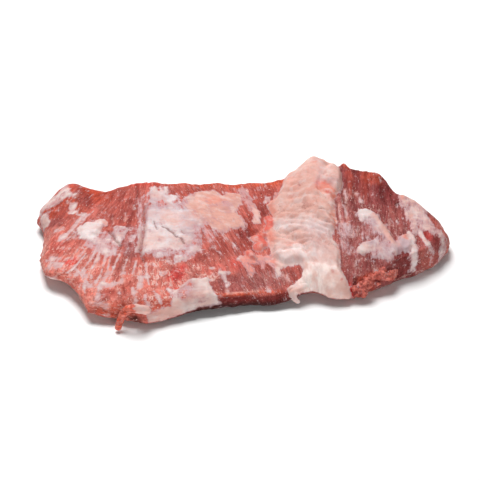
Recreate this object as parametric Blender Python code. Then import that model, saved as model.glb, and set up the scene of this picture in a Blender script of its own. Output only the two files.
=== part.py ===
"""A raw pork secreto: the thin, fan-shaped muscle from under a pig's shoulder, lying flat.

The cut is one closed solid. Its plan is a patch between four edge curves, its top is a
height over that plan, with the band, pads and lumps of fat standing on it in relief, and
its underside is flat where it rests and rolls up to the rim. Loose ends of meat and fat
that hang at the front edge are fused on. Lengths are in millimetres until the mesh is
made, and the mesh is in metres. The origin is the middle of the cut on the surface that
it lies on, x runs along it and y from its front edge to its back edge.
"""

import math

import bmesh
import bpy
import numpy as np
from mathutils import Vector

MM = 0.001

# The four edges of the cut, seen from above. Neighbours share their corners.
FRONT_EDGE = [(-92, -66), (-81, -67), (-68, -70), (-53, -72), (-39, -66), (-23, -59), (-3, -54),
              (21, -51), (41, -45), (56, -50), (65, -48), (73, -42), (84, -36), (98, -25), (111, -17.5)]
BACK_EDGE = [(-114, 66), (-106, 66), (-97, 61), (-86, 62), (-75, 69), (-57, 73), (-37, 72), (-13, 73),
             (9, 72), (25, 72), (37, 74), (47, 76.5), (57, 72), (67, 70), (81, 65), (91, 55), (98, 45), (111, 37)]
LEFT_EDGE = [(-92, -66), (-97, -54), (-104, -43), (-113, -34), (-122, -28), (-126, -11), (-126.8, 10),
             (-127.2, 23), (-132.3, 32), (-132.8, 40), (-125, 51.5), (-114, 66)]
RIGHT_EDGE = [(111, -17.5), (122.5, -10.5), (129.5, -2), (132.5, 8), (130, 21), (122, 32), (111, 37)]

# The sheet of cells that carries the top. The underside has one cell for four of these.
CELLS_ALONG, CELLS_ACROSS = 90, 40
RIM_ROWS = 4                             # rows of cells that roll over at each edge
RIM_ALONG, RIM_ACROSS = 0.05, 0.10       # that roll's share of the length and of the width

SLAB_TOP = 14.5                          # height of the flat part of the cut
RIM_HEIGHT = 4.0                         # of the line where its top and underside meet
BACK_LOBES = [(-66, 2.6, 15), (-38, 1.6, 4), (-17, 1.6, 4), (9, 1.4, 7)]     # of the back edge: x, height, half-width

# Fat that stands on the muscle, by its outline in plan.
BAND = [(31, 74), (38, 80), (50, 80), (58, 76), (63, 66), (65.5, 52), (65, 42), (61.5, 32), (59, 26), (59.5, 8),
        (59, -2), (56, -10), (59, -17), (61, -24), (60, -31), (63, -39), (66, -46), (66, -52), (56, -54), (44, -48),
        (32, -50), (34, -42), (38, -35), (33, -27), (24, -29.5), (19, -24), (18.5, -10), (15, 12), (18, 17), (20, 26),
        (17, 38), (23, 46), (27, 57)]
MIDDLE_PAD = [(-60, 58), (-48, 58), (-40, 49), (-24, 53), (-14, 57), (-2, 53), (0, 44), (-1, 34), (3, 18),
              (-4, 2), (-14, 10), (-30, 8), (-25, -10), (-28, -22), (-38, -27), (-52, -21), (-64, -19),
              (-66, 10), (-65, 26), (-60, 40)]
LEFT_PAD = [(-104, 13), (-100, 17), (-95, 17.5), (-91, 21.5), (-86.5, 19), (-86, 13), (-89, 8), (-91, 3),
            (-95, -1), (-99, 0), (-102, 2), (-104, 7)]
FRONT_PAD = [(-42, -57), (-40, -52), (-35, -46), (-32, -41), (-28, -39.5), (-21, -39.5), (-19.5, -44), (-18, -50),
             (-15, -57), (-20, -62), (-32, -66), (-41, -68)]
RIGHT_LUMP = [(74, 15), (77, 17.5), (82, 17.5), (86, 15), (87.5, 8), (89, 2), (93, -3), (96.5, -9), (97, -16),
              (96, -22), (92, -27), (88, -28.5), (84, -24), (80, -25.5), (75, -22), (72.5, -18), (75, -13), (79, -11),
              (86, -6), (83, -1), (79, 5), (75, 8)]
SIDE_LUMP = [(98, -7), (101, -3), (104, -1), (108, -2), (109, -8), (107, -14), (103, -17.5), (96.5, -18), (96, -13)]
END_STRAP = [(102, 33), (103, 41), (108, 42), (116, 35), (119, 28), (119, 20), (122, 5), (121, -3), (119, -8),
             (114, -12), (110, -14), (108, -11), (108.5, -4), (106.5, 2), (107, 8), (105.5, 14), (104, 22)]

# Height of each fat over the muscle, and how far in from its outline it has risen.
RAISED_FAT = [(BAND, 3.0, 5.0), (MIDDLE_PAD, 1.0, 4.0), (LEFT_PAD, 2.0, 5.0), (FRONT_PAD, 1.4, 4.0),
              (RIGHT_LUMP, 2.6, 4.0), (SIDE_LUMP, 2.2, 4.0), (END_STRAP, 1.4, 4.0)]

# The muscle's fibres run from the back edge to the front edge and fan out on the way.
GRAIN_BACK = 44.0                                                    # y where they start
GRAIN_STARTS = [-131, -106, -86, -66, -51, -37, -11, 14, 34, 50, 130]       # x of a fibre there
GRAIN_LEANS = [-35, -34, -20, -3, 10, 22, 18, 14, 7, 0, -6]                 # its lean, in degrees
BUNDLE_WIDTH, BUNDLE_LENGTH, BUNDLE_RELIEF = 8.0, 45.0, 0.55

FOLD_SPACING, FOLD_RELIEF = 10.0, 0.7    # of the wrinkles that cross the band of fat

# Loose ends at the front edge: the line that a tag follows, with its half-sizes along x, y and z.
MEAT_TAG = [((-55, -65.5, 11.0), (3.4, 3.4, 2.6)), ((-60, -67, 12.3), (3.4, 3.4, 2.6)),
            ((-66, -67.5, 12.3), (3.2, 3.2, 2.6)), ((-70, -69, 10.8), (2.9, 2.6, 2.6)),
            ((-73, -70.5, 7.8), (2.6, 2.1, 2.7)), ((-73.8, -73.4, 4.8), (2.2, 1.8, 2.4)),
            ((-73.8, -75.6, 2.4), (1.5, 1.4, 1.5))]
FAT_TAG = [((38, -43, 10.5), (4.0, 4.0, 2.4)), ((34, -46.5, 9.2), (3.4, 3.0, 2.2)), ((31, -48.0, 8.0), (3.2, 2.2, 2.4)),
           ((32, -49.5, 5.4), (2.8, 1.8, 2.2)), ((34, -50.5, 3.6), (2.0, 1.4, 1.6))]
SHRED_LINE = [(68, -43, 6), (73, -42.5, 8), (78, -38.5, 9.5), (83, -35, 9.5), (88, -32, 9.5), (93, -28.5, 9)]
SHRED_COUNT, SHRED_STRAY, LUMP_SEED = 16, 1.6, 11
SKIN_CELL = 1.25                         # size of the cells of the skin over the loose ends


def catmull_rom(p, steps):
    """A smooth line from the second of the points to the last but one, in steps between neighbours."""
    t = np.linspace(0, 1, steps, endpoint=False)[:, None]
    return np.vstack([0.5 * (2 * b + (c - a) * t + (2 * a - 5 * b + 4 * c - d) * t ** 2
                             + (3 * b - a - 3 * c + d) * t ** 3)
                      for a, b, c, d in zip(p, p[1:], p[2:], p[3:])] + [p[-2]])


def curve_through(points, share):
    """Positions at these shares of the length of a smooth curve through the points."""
    p = np.array(points, float)
    line = catmull_rom(np.vstack([2 * p[0] - p[1], p, 2 * p[-1] - p[-2]]), 12)
    run = np.append(0, np.cumsum(np.linalg.norm(np.diff(line, axis=0), axis=1)))
    return np.stack([np.interp(share * run[-1], run, axis) for axis in line.T], axis=-1)


def plan(u, v):
    """Plan position at share u of the length and v of the width: a patch between the four edges."""
    front, back = curve_through(FRONT_EDGE, u), curve_through(BACK_EDGE, u)
    left, right = curve_through(LEFT_EDGE, v), curve_through(RIGHT_EDGE, v)
    u, v = u[..., None], v[..., None]
    corners = ((1 - u) * (1 - v) * np.array(FRONT_EDGE[0]) + u * (1 - v) * np.array(FRONT_EDGE[-1])
               + (1 - u) * v * np.array(BACK_EDGE[0]) + u * v * np.array(BACK_EDGE[-1]))
    return (1 - v) * front + v * back + (1 - u) * left + u * right - corners


def stations(cells, rim):
    """Grid lines from 0 to 1: those of the roll at each end follow a quarter circle, the others are even."""
    roll = rim * (1 - np.cos(np.linspace(0, math.pi / 2, RIM_ROWS + 1)))
    middle = np.linspace(rim, 1 - rim, cells - 2 * RIM_ROWS + 1)
    return np.concatenate([roll[:-1], middle, 1 - roll[-2::-1]])


def roll_off(share, rim):
    """0 on an edge and 1 inside its roll, along a quarter circle."""
    inside = np.clip(np.minimum(share, 1 - share) / rim, 0, 1)
    return np.sqrt(1 - (1 - inside) ** 2)


def noise(x, y, seed):
    """Smooth random hills between about -1 and 1, a unit apart."""
    angles = np.random.default_rng(seed).uniform(0, 2 * math.pi, (64, 64))
    i, j = np.floor(x).astype(int), np.floor(y).astype(int)
    fx, fy = x - i, y - j

    def slope(di, dj):
        a = angles[(i + di) % 64, (j + dj) % 64]
        return np.cos(a) * (fx - di) + np.sin(a) * (fy - dj)

    sx, sy = fx * fx * (3 - 2 * fx), fy * fy * (3 - 2 * fy)
    near = slope(0, 0) * (1 - sx) + slope(1, 0) * sx
    far = slope(0, 1) * (1 - sx) + slope(1, 1) * sx
    return 1.4 * (near * (1 - sy) + far * sy)


def swell(x, y, centre, size, turn=0.0):
    """A smooth hill of height 1 at the centre, with these half-widths, turned by some degrees."""
    a = math.radians(turn)
    along = (x - centre[0]) * math.cos(a) + (y - centre[1]) * math.sin(a)
    across = (y - centre[1]) * math.cos(a) - (x - centre[0]) * math.sin(a)
    return np.exp(-0.5 * ((along / size[0]) ** 2 + (across / size[1]) ** 2))


def depth_inside(x, y, outline):
    """Distance in from a smooth closed outline: positive inside it and negative outside."""
    ring = catmull_rom(np.array(outline[-1:] + outline + outline[:2], float), 4)[:-1]
    nearest, inside = np.full(x.shape, np.inf), np.zeros(x.shape, bool)
    for (ax, ay), (bx, by) in zip(ring, np.roll(ring, -1, axis=0)):
        dx, dy = bx - ax, by - ay
        t = np.clip(((x - ax) * dx + (y - ay) * dy) / (dx * dx + dy * dy + 1e-9), 0, 1)
        nearest = np.minimum(nearest, np.hypot(x - ax - t * dx, y - ay - t * dy))
        crosses = (ay > y) != (by > y)
        inside ^= crosses & (x < ax + (y - ay) * dx / (dy if dy else 1e-9))
    return np.where(inside, nearest, -nearest)


def step(depth, width):
    """0 outside an outline, rising to 1 over this width inside it."""
    t = np.clip(depth / width + 0.35, 0, 1)
    return t * t * (3 - 2 * t)


def grain(x, y):
    """(across, along) of a point in the fan of fibres: across is where its fibre starts at the back."""
    low, high = np.full(x.shape, -260.0), np.full(x.shape, 260.0)
    for _ in range(24):
        start = (low + high) / 2
        lean = np.radians(np.interp(start, GRAIN_STARTS, GRAIN_LEANS))
        too_far = start + np.tan(lean) * (GRAIN_BACK - y) > x
        low, high = np.where(too_far, low, start), np.where(too_far, start, high)
    return start, (GRAIN_BACK - y) / np.cos(lean)


def hump(x, y):
    """The thick end: a ridge from front to back that drops sharply on its left and gently on its right."""
    crest = np.interp(y, [-46, 4, 69], [54, 53, 50])
    height = np.interp(y, [-56, -40, -20, 4, 39, 69], [0, 2, 6, 11, 15, 17.5])
    side = x - crest
    return height * np.exp(-0.5 * (side / np.where(side < 0, 16, 44)) ** 2)


def top(x, y):
    """Height of the top of the cut before its fat and its fibres."""
    z = SLAB_TOP + hump(x, y)
    z += 8.5 * swell(x, y, (-110, 50), (12, 14), 30)     # the curled corner at the back left
    z += 3 * swell(x, y, (-36, 14), (40, 35))            # under the pad of fat on the middle
    z += 2 * swell(x, y, (47, 66), (12, 14))             # the back of the band of fat
    z += 2 * swell(x, y, (86, 54), (12, 12))             # the shoulder behind the thick end
    z += 3 * swell(x, y, (91, 55), (5, 8)) - 2.5 * swell(x, y, (99, 46), (4, 7))
    z -= 3 * swell(x, y, (60, 66), (6, 7)) + 3 * swell(x, y, (35, 66), (5, 10))     # both shoulders of the band
    z += 5 * swell(x, y, (67.5, 66), (2.2, 3.4))         # a torn tip beside it
    for place, height, width in BACK_LOBES:
        z += height * swell(x, y, (place, 66), (width, 8))
    z -= 3 * swell(x, y, (21, -1), (11, 40), -12)        # the valley beside the hump
    z -= 2 * swell(x, y, (-106, -41), (30, 22), -40)     # the thin corner at the front left
    z -= 4 * swell(x, y, (9, -46), (45, 9))              # the thin front edge
    z += 2.2 * swell(x, y, (-2, -54), (26, 2.5), 6)      # and the lip along it
    z -= 5 * swell(x, y, (78, -43), (16, 10), 26)        # the front of the thick end slopes down
    z += 1.5 * swell(x, y, (127, 8), (8, 12))            # and its tip turns up a little
    return z


def relief(x, y):
    """Height of the fat and of the bundles of fibres over the top."""
    across, along = grain(x, y)
    bundles = BUNDLE_RELIEF * noise(across / BUNDLE_WIDTH, along / BUNDLE_LENGTH, seed=3)
    folds = (FOLD_RELIEF * (0.4 + np.abs(noise(x / 18, y / 26, seed=6)))
             * np.sin(2 * math.pi * (y + 0.004 * (x - 45) ** 2 + 5 * noise(x / 25, y / 40, seed=5)) / FOLD_SPACING))
    z = bundles + 0.5 * noise(x / 22, y / 22, seed=4)
    for outline, height, width in RAISED_FAT:
        covered = step(depth_inside(x, y, outline), width)
        z = z * (1 - 0.7 * covered) + height * covered
        if outline is BAND:
            z += folds * covered
    return z


def lift(x, y):
    """How high the underside hangs over the surface that the cut lies on."""
    z = 6.5 * swell(x, y, (-110, -43), (24, 12), -52)
    z += 8 * swell(x, y, (-119, 57), (12, 12)) + 2 * swell(x, y, (-131, 30), (12, 20))
    z += 1.5 * swell(x, y, (-29, -58), (15, 8)) + 4 * swell(x, y, (41, -46), (14, 7))
    z += 1.5 * swell(x, y, (129, 5), (8, 12))
    return np.maximum(z - 0.4, 0)


def rim_height(x, y):
    """Height of the line where the top and the underside meet: higher where the front edge curls up."""
    return lift(x, y) + RIM_HEIGHT + 0.25 * hump(x, y) + 3.5 * swell(x, y, (-10, -57), (20, 8), 8)


def sheets():
    """Grids of points of the top and of the underside. They share their rims."""
    u, v = np.meshgrid(stations(CELLS_ALONG, RIM_ALONG), stations(CELLS_ACROSS, RIM_ACROSS), indexing="ij")
    x, y = np.moveaxis(plan(u, v), -1, 0)
    x, y = x + 0.9 * noise(x / 11, y / 11, seed=1), y + 0.9 * noise(x / 11, y / 11, seed=2)
    rolled = roll_off(u, RIM_ALONG) * roll_off(v, RIM_ACROSS)
    under, rim = lift(x, y), rim_height(x, y)
    upper = np.stack([x, y, rim + (top(x, y) + relief(x, y) - rim) * rolled], axis=-1)
    hang = 14 * swell(x, y, (-8, -56), (24, 10)) * rolled * (1 - rolled)     # flesh that shows under the lip
    lower = np.stack([x, y - hang, under + (rim - under) * (1 - rolled)], axis=-1)
    return upper, lower[::2, ::2]


def slab_mesh(upper, lower):
    """Joins both sheets into one closed mesh, with five or six corners to an outer cell underneath."""
    columns, rows = upper.shape[0] - 1, upper.shape[1] - 1
    points = upper.reshape(-1, 3).tolist()
    faces = []

    def above(i, j):
        return i * (rows + 1) + j

    for i in range(columns):
        for j in range(rows):
            faces.append([above(i, j), above(i + 1, j), above(i + 1, j + 1), above(i, j + 1)])

    number = {}
    for i in range(columns // 2 + 1):
        for j in range(rows // 2 + 1):
            if i in (0, columns // 2) or j in (0, rows // 2):
                number[i, j] = above(2 * i, 2 * j)
            else:
                number[i, j] = len(points)
                points.append(lower[i, j].tolist())

    def on_rim(a, b):
        """True if the side between two corners of a cell lies on the rim."""
        return (a[0] == b[0] and a[0] in (0, columns // 2)) or (a[1] == b[1] and a[1] in (0, rows // 2))

    for i in range(columns // 2):
        for j in range(rows // 2):
            ring = []
            corners = [(i, j), (i, j + 1), (i + 1, j + 1), (i + 1, j)]
            for here, after in zip(corners, corners[1:] + corners[:1]):
                ring.append(number[here])
                if on_rim(here, after):
                    ring.append(above(here[0] + after[0], here[1] + after[1]))
            faces.append(ring)
    mesh = bpy.data.meshes.new("secreto")
    mesh.from_pydata([Vector(p) * MM for p in points], [], faces)
    return mesh


def lumps_object(name, balls, rng):
    """One closed lumpy piece: balls of (centre, half-sizes), a little uneven, melted into each other."""
    shape = bmesh.new()
    for centre, size in balls:
        for vert in bmesh.ops.create_icosphere(shape, subdivisions=2, radius=1)["verts"]:
            push = 1 + rng.uniform(-0.12, 0.12)
            vert.co = Vector(c + n * s * push for c, n, s in zip(centre, vert.co, size)) * MM
    mesh = bpy.data.meshes.new(name)
    shape.to_mesh(mesh)
    shape.free()
    lumps = bpy.data.objects.new(name, mesh)
    skin = lumps.modifiers.new("skin", "REMESH")
    skin.mode, skin.voxel_size = "VOXEL", SKIN_CELL * MM
    soft = lumps.modifiers.new("soft", "SMOOTH")
    soft.factor, soft.iterations = 0.5, 3
    return lumps


def along_tag(line, count):
    """This many balls evenly along a tag."""
    share = np.linspace(0, 1, count)
    places = curve_through([place for place, _ in line], share)
    sizes = curve_through([size for _, size in line], share)
    return list(zip(places, np.maximum(sizes, SKIN_CELL)))


def loose_ends():
    """The tags and the row of torn lumps at the front edge, in a collection of their own."""
    rng = np.random.default_rng(LUMP_SEED)
    shreds = [(place + rng.uniform(-1, 1, 3) * SHRED_STRAY, rng.uniform(2.4, 4.2, 3))
              for place in curve_through(SHRED_LINE, np.linspace(0, 1, SHRED_COUNT))]
    ends = bpy.data.collections.new("loose_ends")
    for name, balls in (("meat_tag", along_tag(MEAT_TAG, 16)), ("fat_tag", along_tag(FAT_TAG, 10)),
                        ("shreds", shreds)):
        ends.objects.link(lumps_object(name, balls, rng))
    return ends


def fuse(body, pieces):
    """Joins a collection's objects to the body for good, and removes them."""
    union = body.modifiers.new("loose_ends", "BOOLEAN")
    union.operation = "UNION"
    union.operand_type = "COLLECTION"
    union.collection = pieces
    union.solver = "MANIFOLD"
    graph = bpy.context.evaluated_depsgraph_get()
    joined = bpy.data.meshes.new_from_object(body.evaluated_get(graph))
    body.modifiers.remove(union)
    body.data = joined
    for obj in list(pieces.objects):
        bpy.data.objects.remove(obj)
    bpy.data.collections.remove(pieces)


def fill_pockets(mesh):
    """Keeps the largest of the mesh's closed surfaces, so the pockets that were sealed in it are solid."""
    shape = bmesh.new()
    shape.from_mesh(mesh)
    left, largest = set(shape.verts), []
    while left:
        found, edge_of = [], [left.pop()]
        while edge_of:
            vert = edge_of.pop()
            found.append(vert)
            for near in (edge.other_vert(vert) for edge in vert.link_edges):
                if near in left:
                    left.remove(near)
                    edge_of.append(near)
        largest = max(largest, found, key=len)
    kept = set(largest)
    bmesh.ops.delete(shape, geom=[v for v in shape.verts if v not in kept], context="VERTS")
    shape.to_mesh(mesh)
    shape.free()


def raw_meat():
    """Wet raw pork, a dull pink red."""
    material = bpy.data.materials.new("raw_pork")
    material.use_nodes = True
    shader = material.node_tree.nodes["Principled BSDF"]
    shader.inputs["Base Color"].default_value = (0.56, 0.19, 0.16, 1)
    shader.inputs["Roughness"].default_value = 0.4
    return material


def main():
    for obj in list(bpy.data.objects):
        bpy.data.objects.remove(obj)
    upper, lower = sheets()
    secreto = bpy.data.objects.new("secreto", slab_mesh(upper, lower))
    bpy.context.scene.collection.objects.link(secreto)
    fuse(secreto, loose_ends())
    fill_pockets(secreto.data)
    secreto.data.materials.clear()
    secreto.data.materials.append(raw_meat())
    secreto.data.shade_smooth()


main()
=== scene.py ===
# %% [markdown]
# # A raw pork secreto
#
# The secreto is a thin, fan-shaped muscle from under a pig's shoulder. It is loosely marbled,
# and patches of soft back fat are left on it when it is cut free. This lesson gives the plain
# solid of the cut its wet surface: fibres, fat that stands on the muscle, thin film between
# them, and the loose ends that a knife leaves. Lengths are in millimetres in the arrays, and
# turn into metres when a mesh is made.

import math

import bmesh
import bpy
import numpy as np
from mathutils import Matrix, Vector


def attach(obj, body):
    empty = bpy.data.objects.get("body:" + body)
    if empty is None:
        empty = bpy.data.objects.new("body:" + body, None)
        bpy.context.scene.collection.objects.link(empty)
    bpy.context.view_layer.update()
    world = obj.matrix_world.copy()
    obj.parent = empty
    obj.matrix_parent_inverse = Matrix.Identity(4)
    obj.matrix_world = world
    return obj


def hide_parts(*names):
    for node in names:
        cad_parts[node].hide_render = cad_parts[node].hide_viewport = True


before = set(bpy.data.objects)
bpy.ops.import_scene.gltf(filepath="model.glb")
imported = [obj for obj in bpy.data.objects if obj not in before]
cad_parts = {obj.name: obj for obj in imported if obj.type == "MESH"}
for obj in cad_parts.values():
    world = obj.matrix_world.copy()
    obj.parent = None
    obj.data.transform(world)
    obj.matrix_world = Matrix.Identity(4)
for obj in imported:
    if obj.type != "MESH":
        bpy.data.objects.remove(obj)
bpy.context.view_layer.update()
MM = 0.001

# %% [markdown]
# ## The edge of the cut
#
# A knife leaves the cut with four sides: a long front and back edge, and two short ends. Each
# is a smooth curve through a few measured places, and the plan of the whole cut is the patch
# that they span. Such a patch needs no traced outline, and its two directions later give rows
# and columns of cells that are fine enough for fibres.

# %% Edge curves and the patch between them
FRONT_EDGE = [(-92, -66), (-81, -67), (-68, -70), (-53, -72), (-39, -66), (-23, -59), (-3, -54),
              (21, -51), (41, -45), (56, -50), (65, -48), (73, -42), (84, -36), (98, -25), (111, -17.5)]
BACK_EDGE = [
    (-114, 66), (-106, 66), (-97, 61), (-86, 62), (-75, 69), (-57, 73), (-37, 72), (-13, 73), (9, 72),
    (25, 72), (37, 74), (47, 76.5), (57, 72), (67, 70), (81, 65), (91.5, 55.7), (98.3, 45.3), (111, 37)]
LEFT_EDGE = [(-92, -66), (-97, -54), (-104, -43), (-113, -34), (-122, -28), (-126, -11), (-126.8, 10),
             (-127.2, 23), (-132.3, 32), (-132.8, 40), (-125, 51.5), (-114, 66)]
RIGHT_EDGE = [(111, -17.5), (122.5, -10.5), (129.5, -2), (132.5, 8), (130, 21), (122, 32), (111, 37)]


def catmull_rom(p, steps):
    """A smooth line from the second of the points to the last but one, in steps between neighbours."""
    t = np.linspace(0, 1, steps, endpoint=False)[:, None]
    return np.vstack([0.5 * (2 * b + (c - a) * t + (2 * a - 5 * b + 4 * c - d) * t ** 2
                             + (3 * b - a - 3 * c + d) * t ** 3)
                      for a, b, c, d in zip(p, p[1:], p[2:], p[3:])] + [p[-2]])


def curve_through(points, share):
    """Positions at these shares of the length of a smooth curve through the points."""
    p = np.array(points, float)
    line = catmull_rom(np.vstack([2 * p[0] - p[1], p, 2 * p[-1] - p[-2]]), 12)
    run = np.append(0, np.cumsum(np.linalg.norm(np.diff(line, axis=0), axis=1)))
    return np.stack([np.interp(share * run[-1], run, axis) for axis in line.T], axis=-1)


def plan(u, v):
    """Plan position at share u of the length and v of the width: a patch between the four edges."""
    front, back = curve_through(FRONT_EDGE, u), curve_through(BACK_EDGE, u)
    left, right = curve_through(LEFT_EDGE, v), curve_through(RIGHT_EDGE, v)
    u, v = u[..., None], v[..., None]
    corners = ((1 - u) * (1 - v) * np.array(FRONT_EDGE[0]) + u * (1 - v) * np.array(FRONT_EDGE[-1])
               + (1 - u) * v * np.array(BACK_EDGE[0]) + u * v * np.array(BACK_EDGE[-1]))
    return (1 - v) * front + v * back + (1 - u) * left + u * right - corners


print("edge curves through", len(FRONT_EDGE + BACK_EDGE + LEFT_EDGE + RIGHT_EDGE), "places")

# %% [markdown]
# ## Hills, outlines and lines
#
# Everything on the cut's top is made of three things. Noise gives random hills, a swell is a
# single soft hill, and a signed distance tells how far a point lies inside an outline or from
# a line. Distances suit meat well, because fat ends in a shoulder whose height, colour and
# raggedness all depend on how near its edge is.

# %% Noise and swells
NOISE_CELLS = 64                         # the hills repeat after this many, which is past the cut's end


def noise(x, y, seed):
    """Smooth random hills between about -1 and 1, a unit apart."""
    angles = np.random.default_rng(seed).uniform(0, 2 * math.pi, (NOISE_CELLS, NOISE_CELLS))
    i, j = np.floor(x).astype(int), np.floor(y).astype(int)
    fx, fy = x - i, y - j

    def slope(di, dj):
        a = angles[(i + di) % NOISE_CELLS, (j + dj) % NOISE_CELLS]
        return np.cos(a) * (fx - di) + np.sin(a) * (fy - dj)

    sx, sy = fx * fx * (3 - 2 * fx), fy * fy * (3 - 2 * fy)
    near = slope(0, 0) * (1 - sx) + slope(1, 0) * sx
    far = slope(0, 1) * (1 - sx) + slope(1, 1) * sx
    return 1.4 * (near * (1 - sy) + far * sy)


def swell(x, y, centre, size, turn=0.0):
    """A smooth hill of height 1 at the centre, with these half-widths, turned by some degrees."""
    a = math.radians(turn)
    along = (x - centre[0]) * math.cos(a) + (y - centre[1]) * math.sin(a)
    across = (y - centre[1]) * math.cos(a) - (x - centre[0]) * math.sin(a)
    return np.exp(-0.5 * ((along / size[0]) ** 2 + (across / size[1]) ** 2))


def swells(x, y, hills):
    """The heights of several such hills together: each has a height, a centre, half-widths and a turn."""
    return sum(height * swell(x, y, centre, size, turn) for height, centre, size, turn in hills)


def smooth_step(value, low, high):
    """0 below low, 1 above high, and smooth between them."""
    t = np.clip((value - low) / (high - low), 0, 1)
    return t * t * (3 - 2 * t)


sample = noise(*np.mgrid[0:9:0.1, 0:9:0.1], 1)
print("noise spans %.2f to %.2f" % (sample.min(), sample.max()))

# %% Distances, and the shapes that are made of them
FAR = 12.0                               # beyond this distance from a line, nothing needs to know


def distance(x, y, line):
    """Distance to a line of straight pieces, up to FAR."""
    nearest = np.full(x.shape, FAR)
    close = np.ones(x.shape, bool)
    for value, axis in ((x, 0), (y, 1)):
        close &= (value > line[:, axis].min() - FAR) & (value < line[:, axis].max() + FAR)
    px, py, found = x[close], y[close], nearest[close]
    for (ax, ay), (bx, by) in zip(line, line[1:]):
        dx, dy = bx - ax, by - ay
        t = np.clip(((px - ax) * dx + (py - ay) * dy) / (dx * dx + dy * dy + 1e-9), 0, 1)
        found = np.minimum(found, np.hypot(px - ax - t * dx, py - ay - t * dy))
    nearest[close] = found
    return nearest


def depth_inside(x, y, outline):
    """Distance in from a smooth closed outline: positive inside it and negative outside."""
    ring = catmull_rom(np.array(outline[-1:] + outline + outline[:2], float), 4)
    nearest, inside = distance(x, y, ring), np.zeros(x.shape, bool)
    for (ax, ay), (bx, by) in zip(ring, ring[1:]):
        if ay != by:
            inside ^= ((ay > y) != (by > y)) & (x < ax + (y - ay) * (bx - ax) / (by - ay))
    return np.where(inside, nearest, -nearest)


def smooth_line(points):
    """The smooth curve through a few points, as short straight pieces."""
    p = np.array(points, float)
    return catmull_rom(np.vstack([2 * p[0] - p[1], p, 2 * p[-1] - p[-2]]), 4)


def patch(*outline):
    """A shape inside an outline. Every shape gives the depth of points inside it, in millimetres."""
    return lambda x, y: depth_inside(x, y, list(outline))


def stroke(half_width, *points):
    """A shape along a line."""
    line = smooth_line(points)
    return lambda x, y: half_width - distance(x, y, line)


def blot(cx, cy, wide, tall, turn=0):
    """An oval shape with these half-widths, turned by some degrees."""
    c, s = math.cos(math.radians(turn)), math.sin(math.radians(turn))
    return lambda x, y: min(wide, tall) * (1 - np.hypot(((x - cx) * c + (y - cy) * s) / wide,
                                                        ((y - cy) * c - (x - cx) * s) / tall))


on_its_line = stroke(1, (0, 0), (9, 0))(np.array([4.0]), np.array([0.0]))[0]
print("a stroke 2 mm wide is %.0f mm deep on its line" % on_its_line)

# %% [markdown]
# ## The grain
#
# Muscle fibres run from the back edge to the front edge and fan out on the way, as the ribs of
# a hand fan do. A point's place in this fan is worked out once: which fibre it is on, and how
# far along it. Bundles, marbling and the fine streaks of the finish all use these two numbers,
# so they bend together.

# %% Place of a point in the fan of fibres
GRAIN_BACK = 44.0                                                    # y where the fibres start
GRAIN_STARTS = [-131, -106, -86, -66, -51, -37, -11, 14, 34, 50, 130]       # x of a fibre there
GRAIN_LEANS = [-35, -34, -20, -3, 10, 22, 18, 14, 7, 0, -6]                 # its lean, in degrees
FURTHEST_START, HALVINGS = 260.0, 24                                 # of the search for a point's fibre


def grain(x, y):
    """(across, along) of a point in the fan of fibres: across is where its fibre starts at the back."""
    low, high = np.full(x.shape, -FURTHEST_START), np.full(x.shape, FURTHEST_START)
    for _ in range(HALVINGS):
        start = (low + high) / 2
        lean = np.radians(np.interp(start, GRAIN_STARTS, GRAIN_LEANS))
        too_far = start + np.tan(lean) * (GRAIN_BACK - y) > x
        low, high = np.where(too_far, low, start), np.where(too_far, start, high)
    return start, (GRAIN_BACK - y) / np.cos(lean)


print("a fibre at the front left starts at x = %.0f mm" % grain(np.array([-100.0]), np.array([-50.0]))[0][0])

# %% [markdown]
# ## Where the fat lies
#
# Soft white fat lies on the muscle in patches. Some stand up like a cushion, some are only a
# thin skin through which the red muscle shows, and some are veins along the grain. Each is an
# outline, a line or an oval, with how high it stands, how soft its edge is and how dense it
# is. Where muscle shows through the fat again, a hole is taken out of it.

# %% Outlines of the large patches of fat
BAND = patch((31, 74), (38, 80), (50, 80), (58, 76), (63, 66), (65.5, 52), (65, 42), (61.5, 32), (59, 26),
             (59.5, 8), (59, -2), (56, -10), (59, -17), (61, -24), (60, -31), (63, -39), (66, -46), (66, -52),
             (56, -54), (44, -48), (32, -50), (28, -46), (34, -42), (38, -35), (37, -30), (33, -27),
             (24, -29.5), (19, -24), (18.5, -10), (17, 0), (15, 12), (18, 17), (20, 26), (17, 38), (23, 46),
             (27, 57))
WHITE_PAD = patch((-60, 57), (-57, 58), (-55, 53), (-52, 58), (-49, 58), (-48, 50), (-43, 49), (-39, 44),
                  (-35, 49), (-30, 50), (-26, 44), (-22, 40), (-21, 20), (-24, 10), (-25, 0), (-25, -8),
                  (-28, -16), (-33, -22), (-39, -26), (-46, -24), (-54, -20), (-60, -19), (-62, -10),
                  (-62, 4), (-62, 14), (-61, 45))
PINK_PAD = patch((-34, 50), (-25, 55), (-17, 55), (-13, 50), (-9, 54), (-1, 52), (0, 47), (-1, 38), (-2, 28),
                 (1, 19), (2, 13), (-1, 9), (-6, 9), (-11, 4), (-16, 4), (-20, 10), (-27, 14), (-34, 32))
LEFT_PAD = patch((-104, 13), (-100, 17), (-95, 17.5), (-91, 21.5), (-86.5, 19), (-86, 13), (-89, 8), (-91, 3),
                 (-95, -1), (-99, 0), (-102, 2), (-104, 7))
BROKEN_PAD = patch((-81, 14), (-76, 13), (-72, 9), (-74, 2), (-75, -5), (-79, -9), (-82, -5), (-80.5, -1),
                   (-82, 5))
FRONT_PAD = patch((-42, -57), (-40, -52), (-35, -46), (-32, -41), (-28, -39.5), (-25, -41), (-21, -39.5),
                  (-19.5, -44), (-18, -50), (-15, -57), (-20, -62), (-32, -66), (-41, -68))
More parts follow.
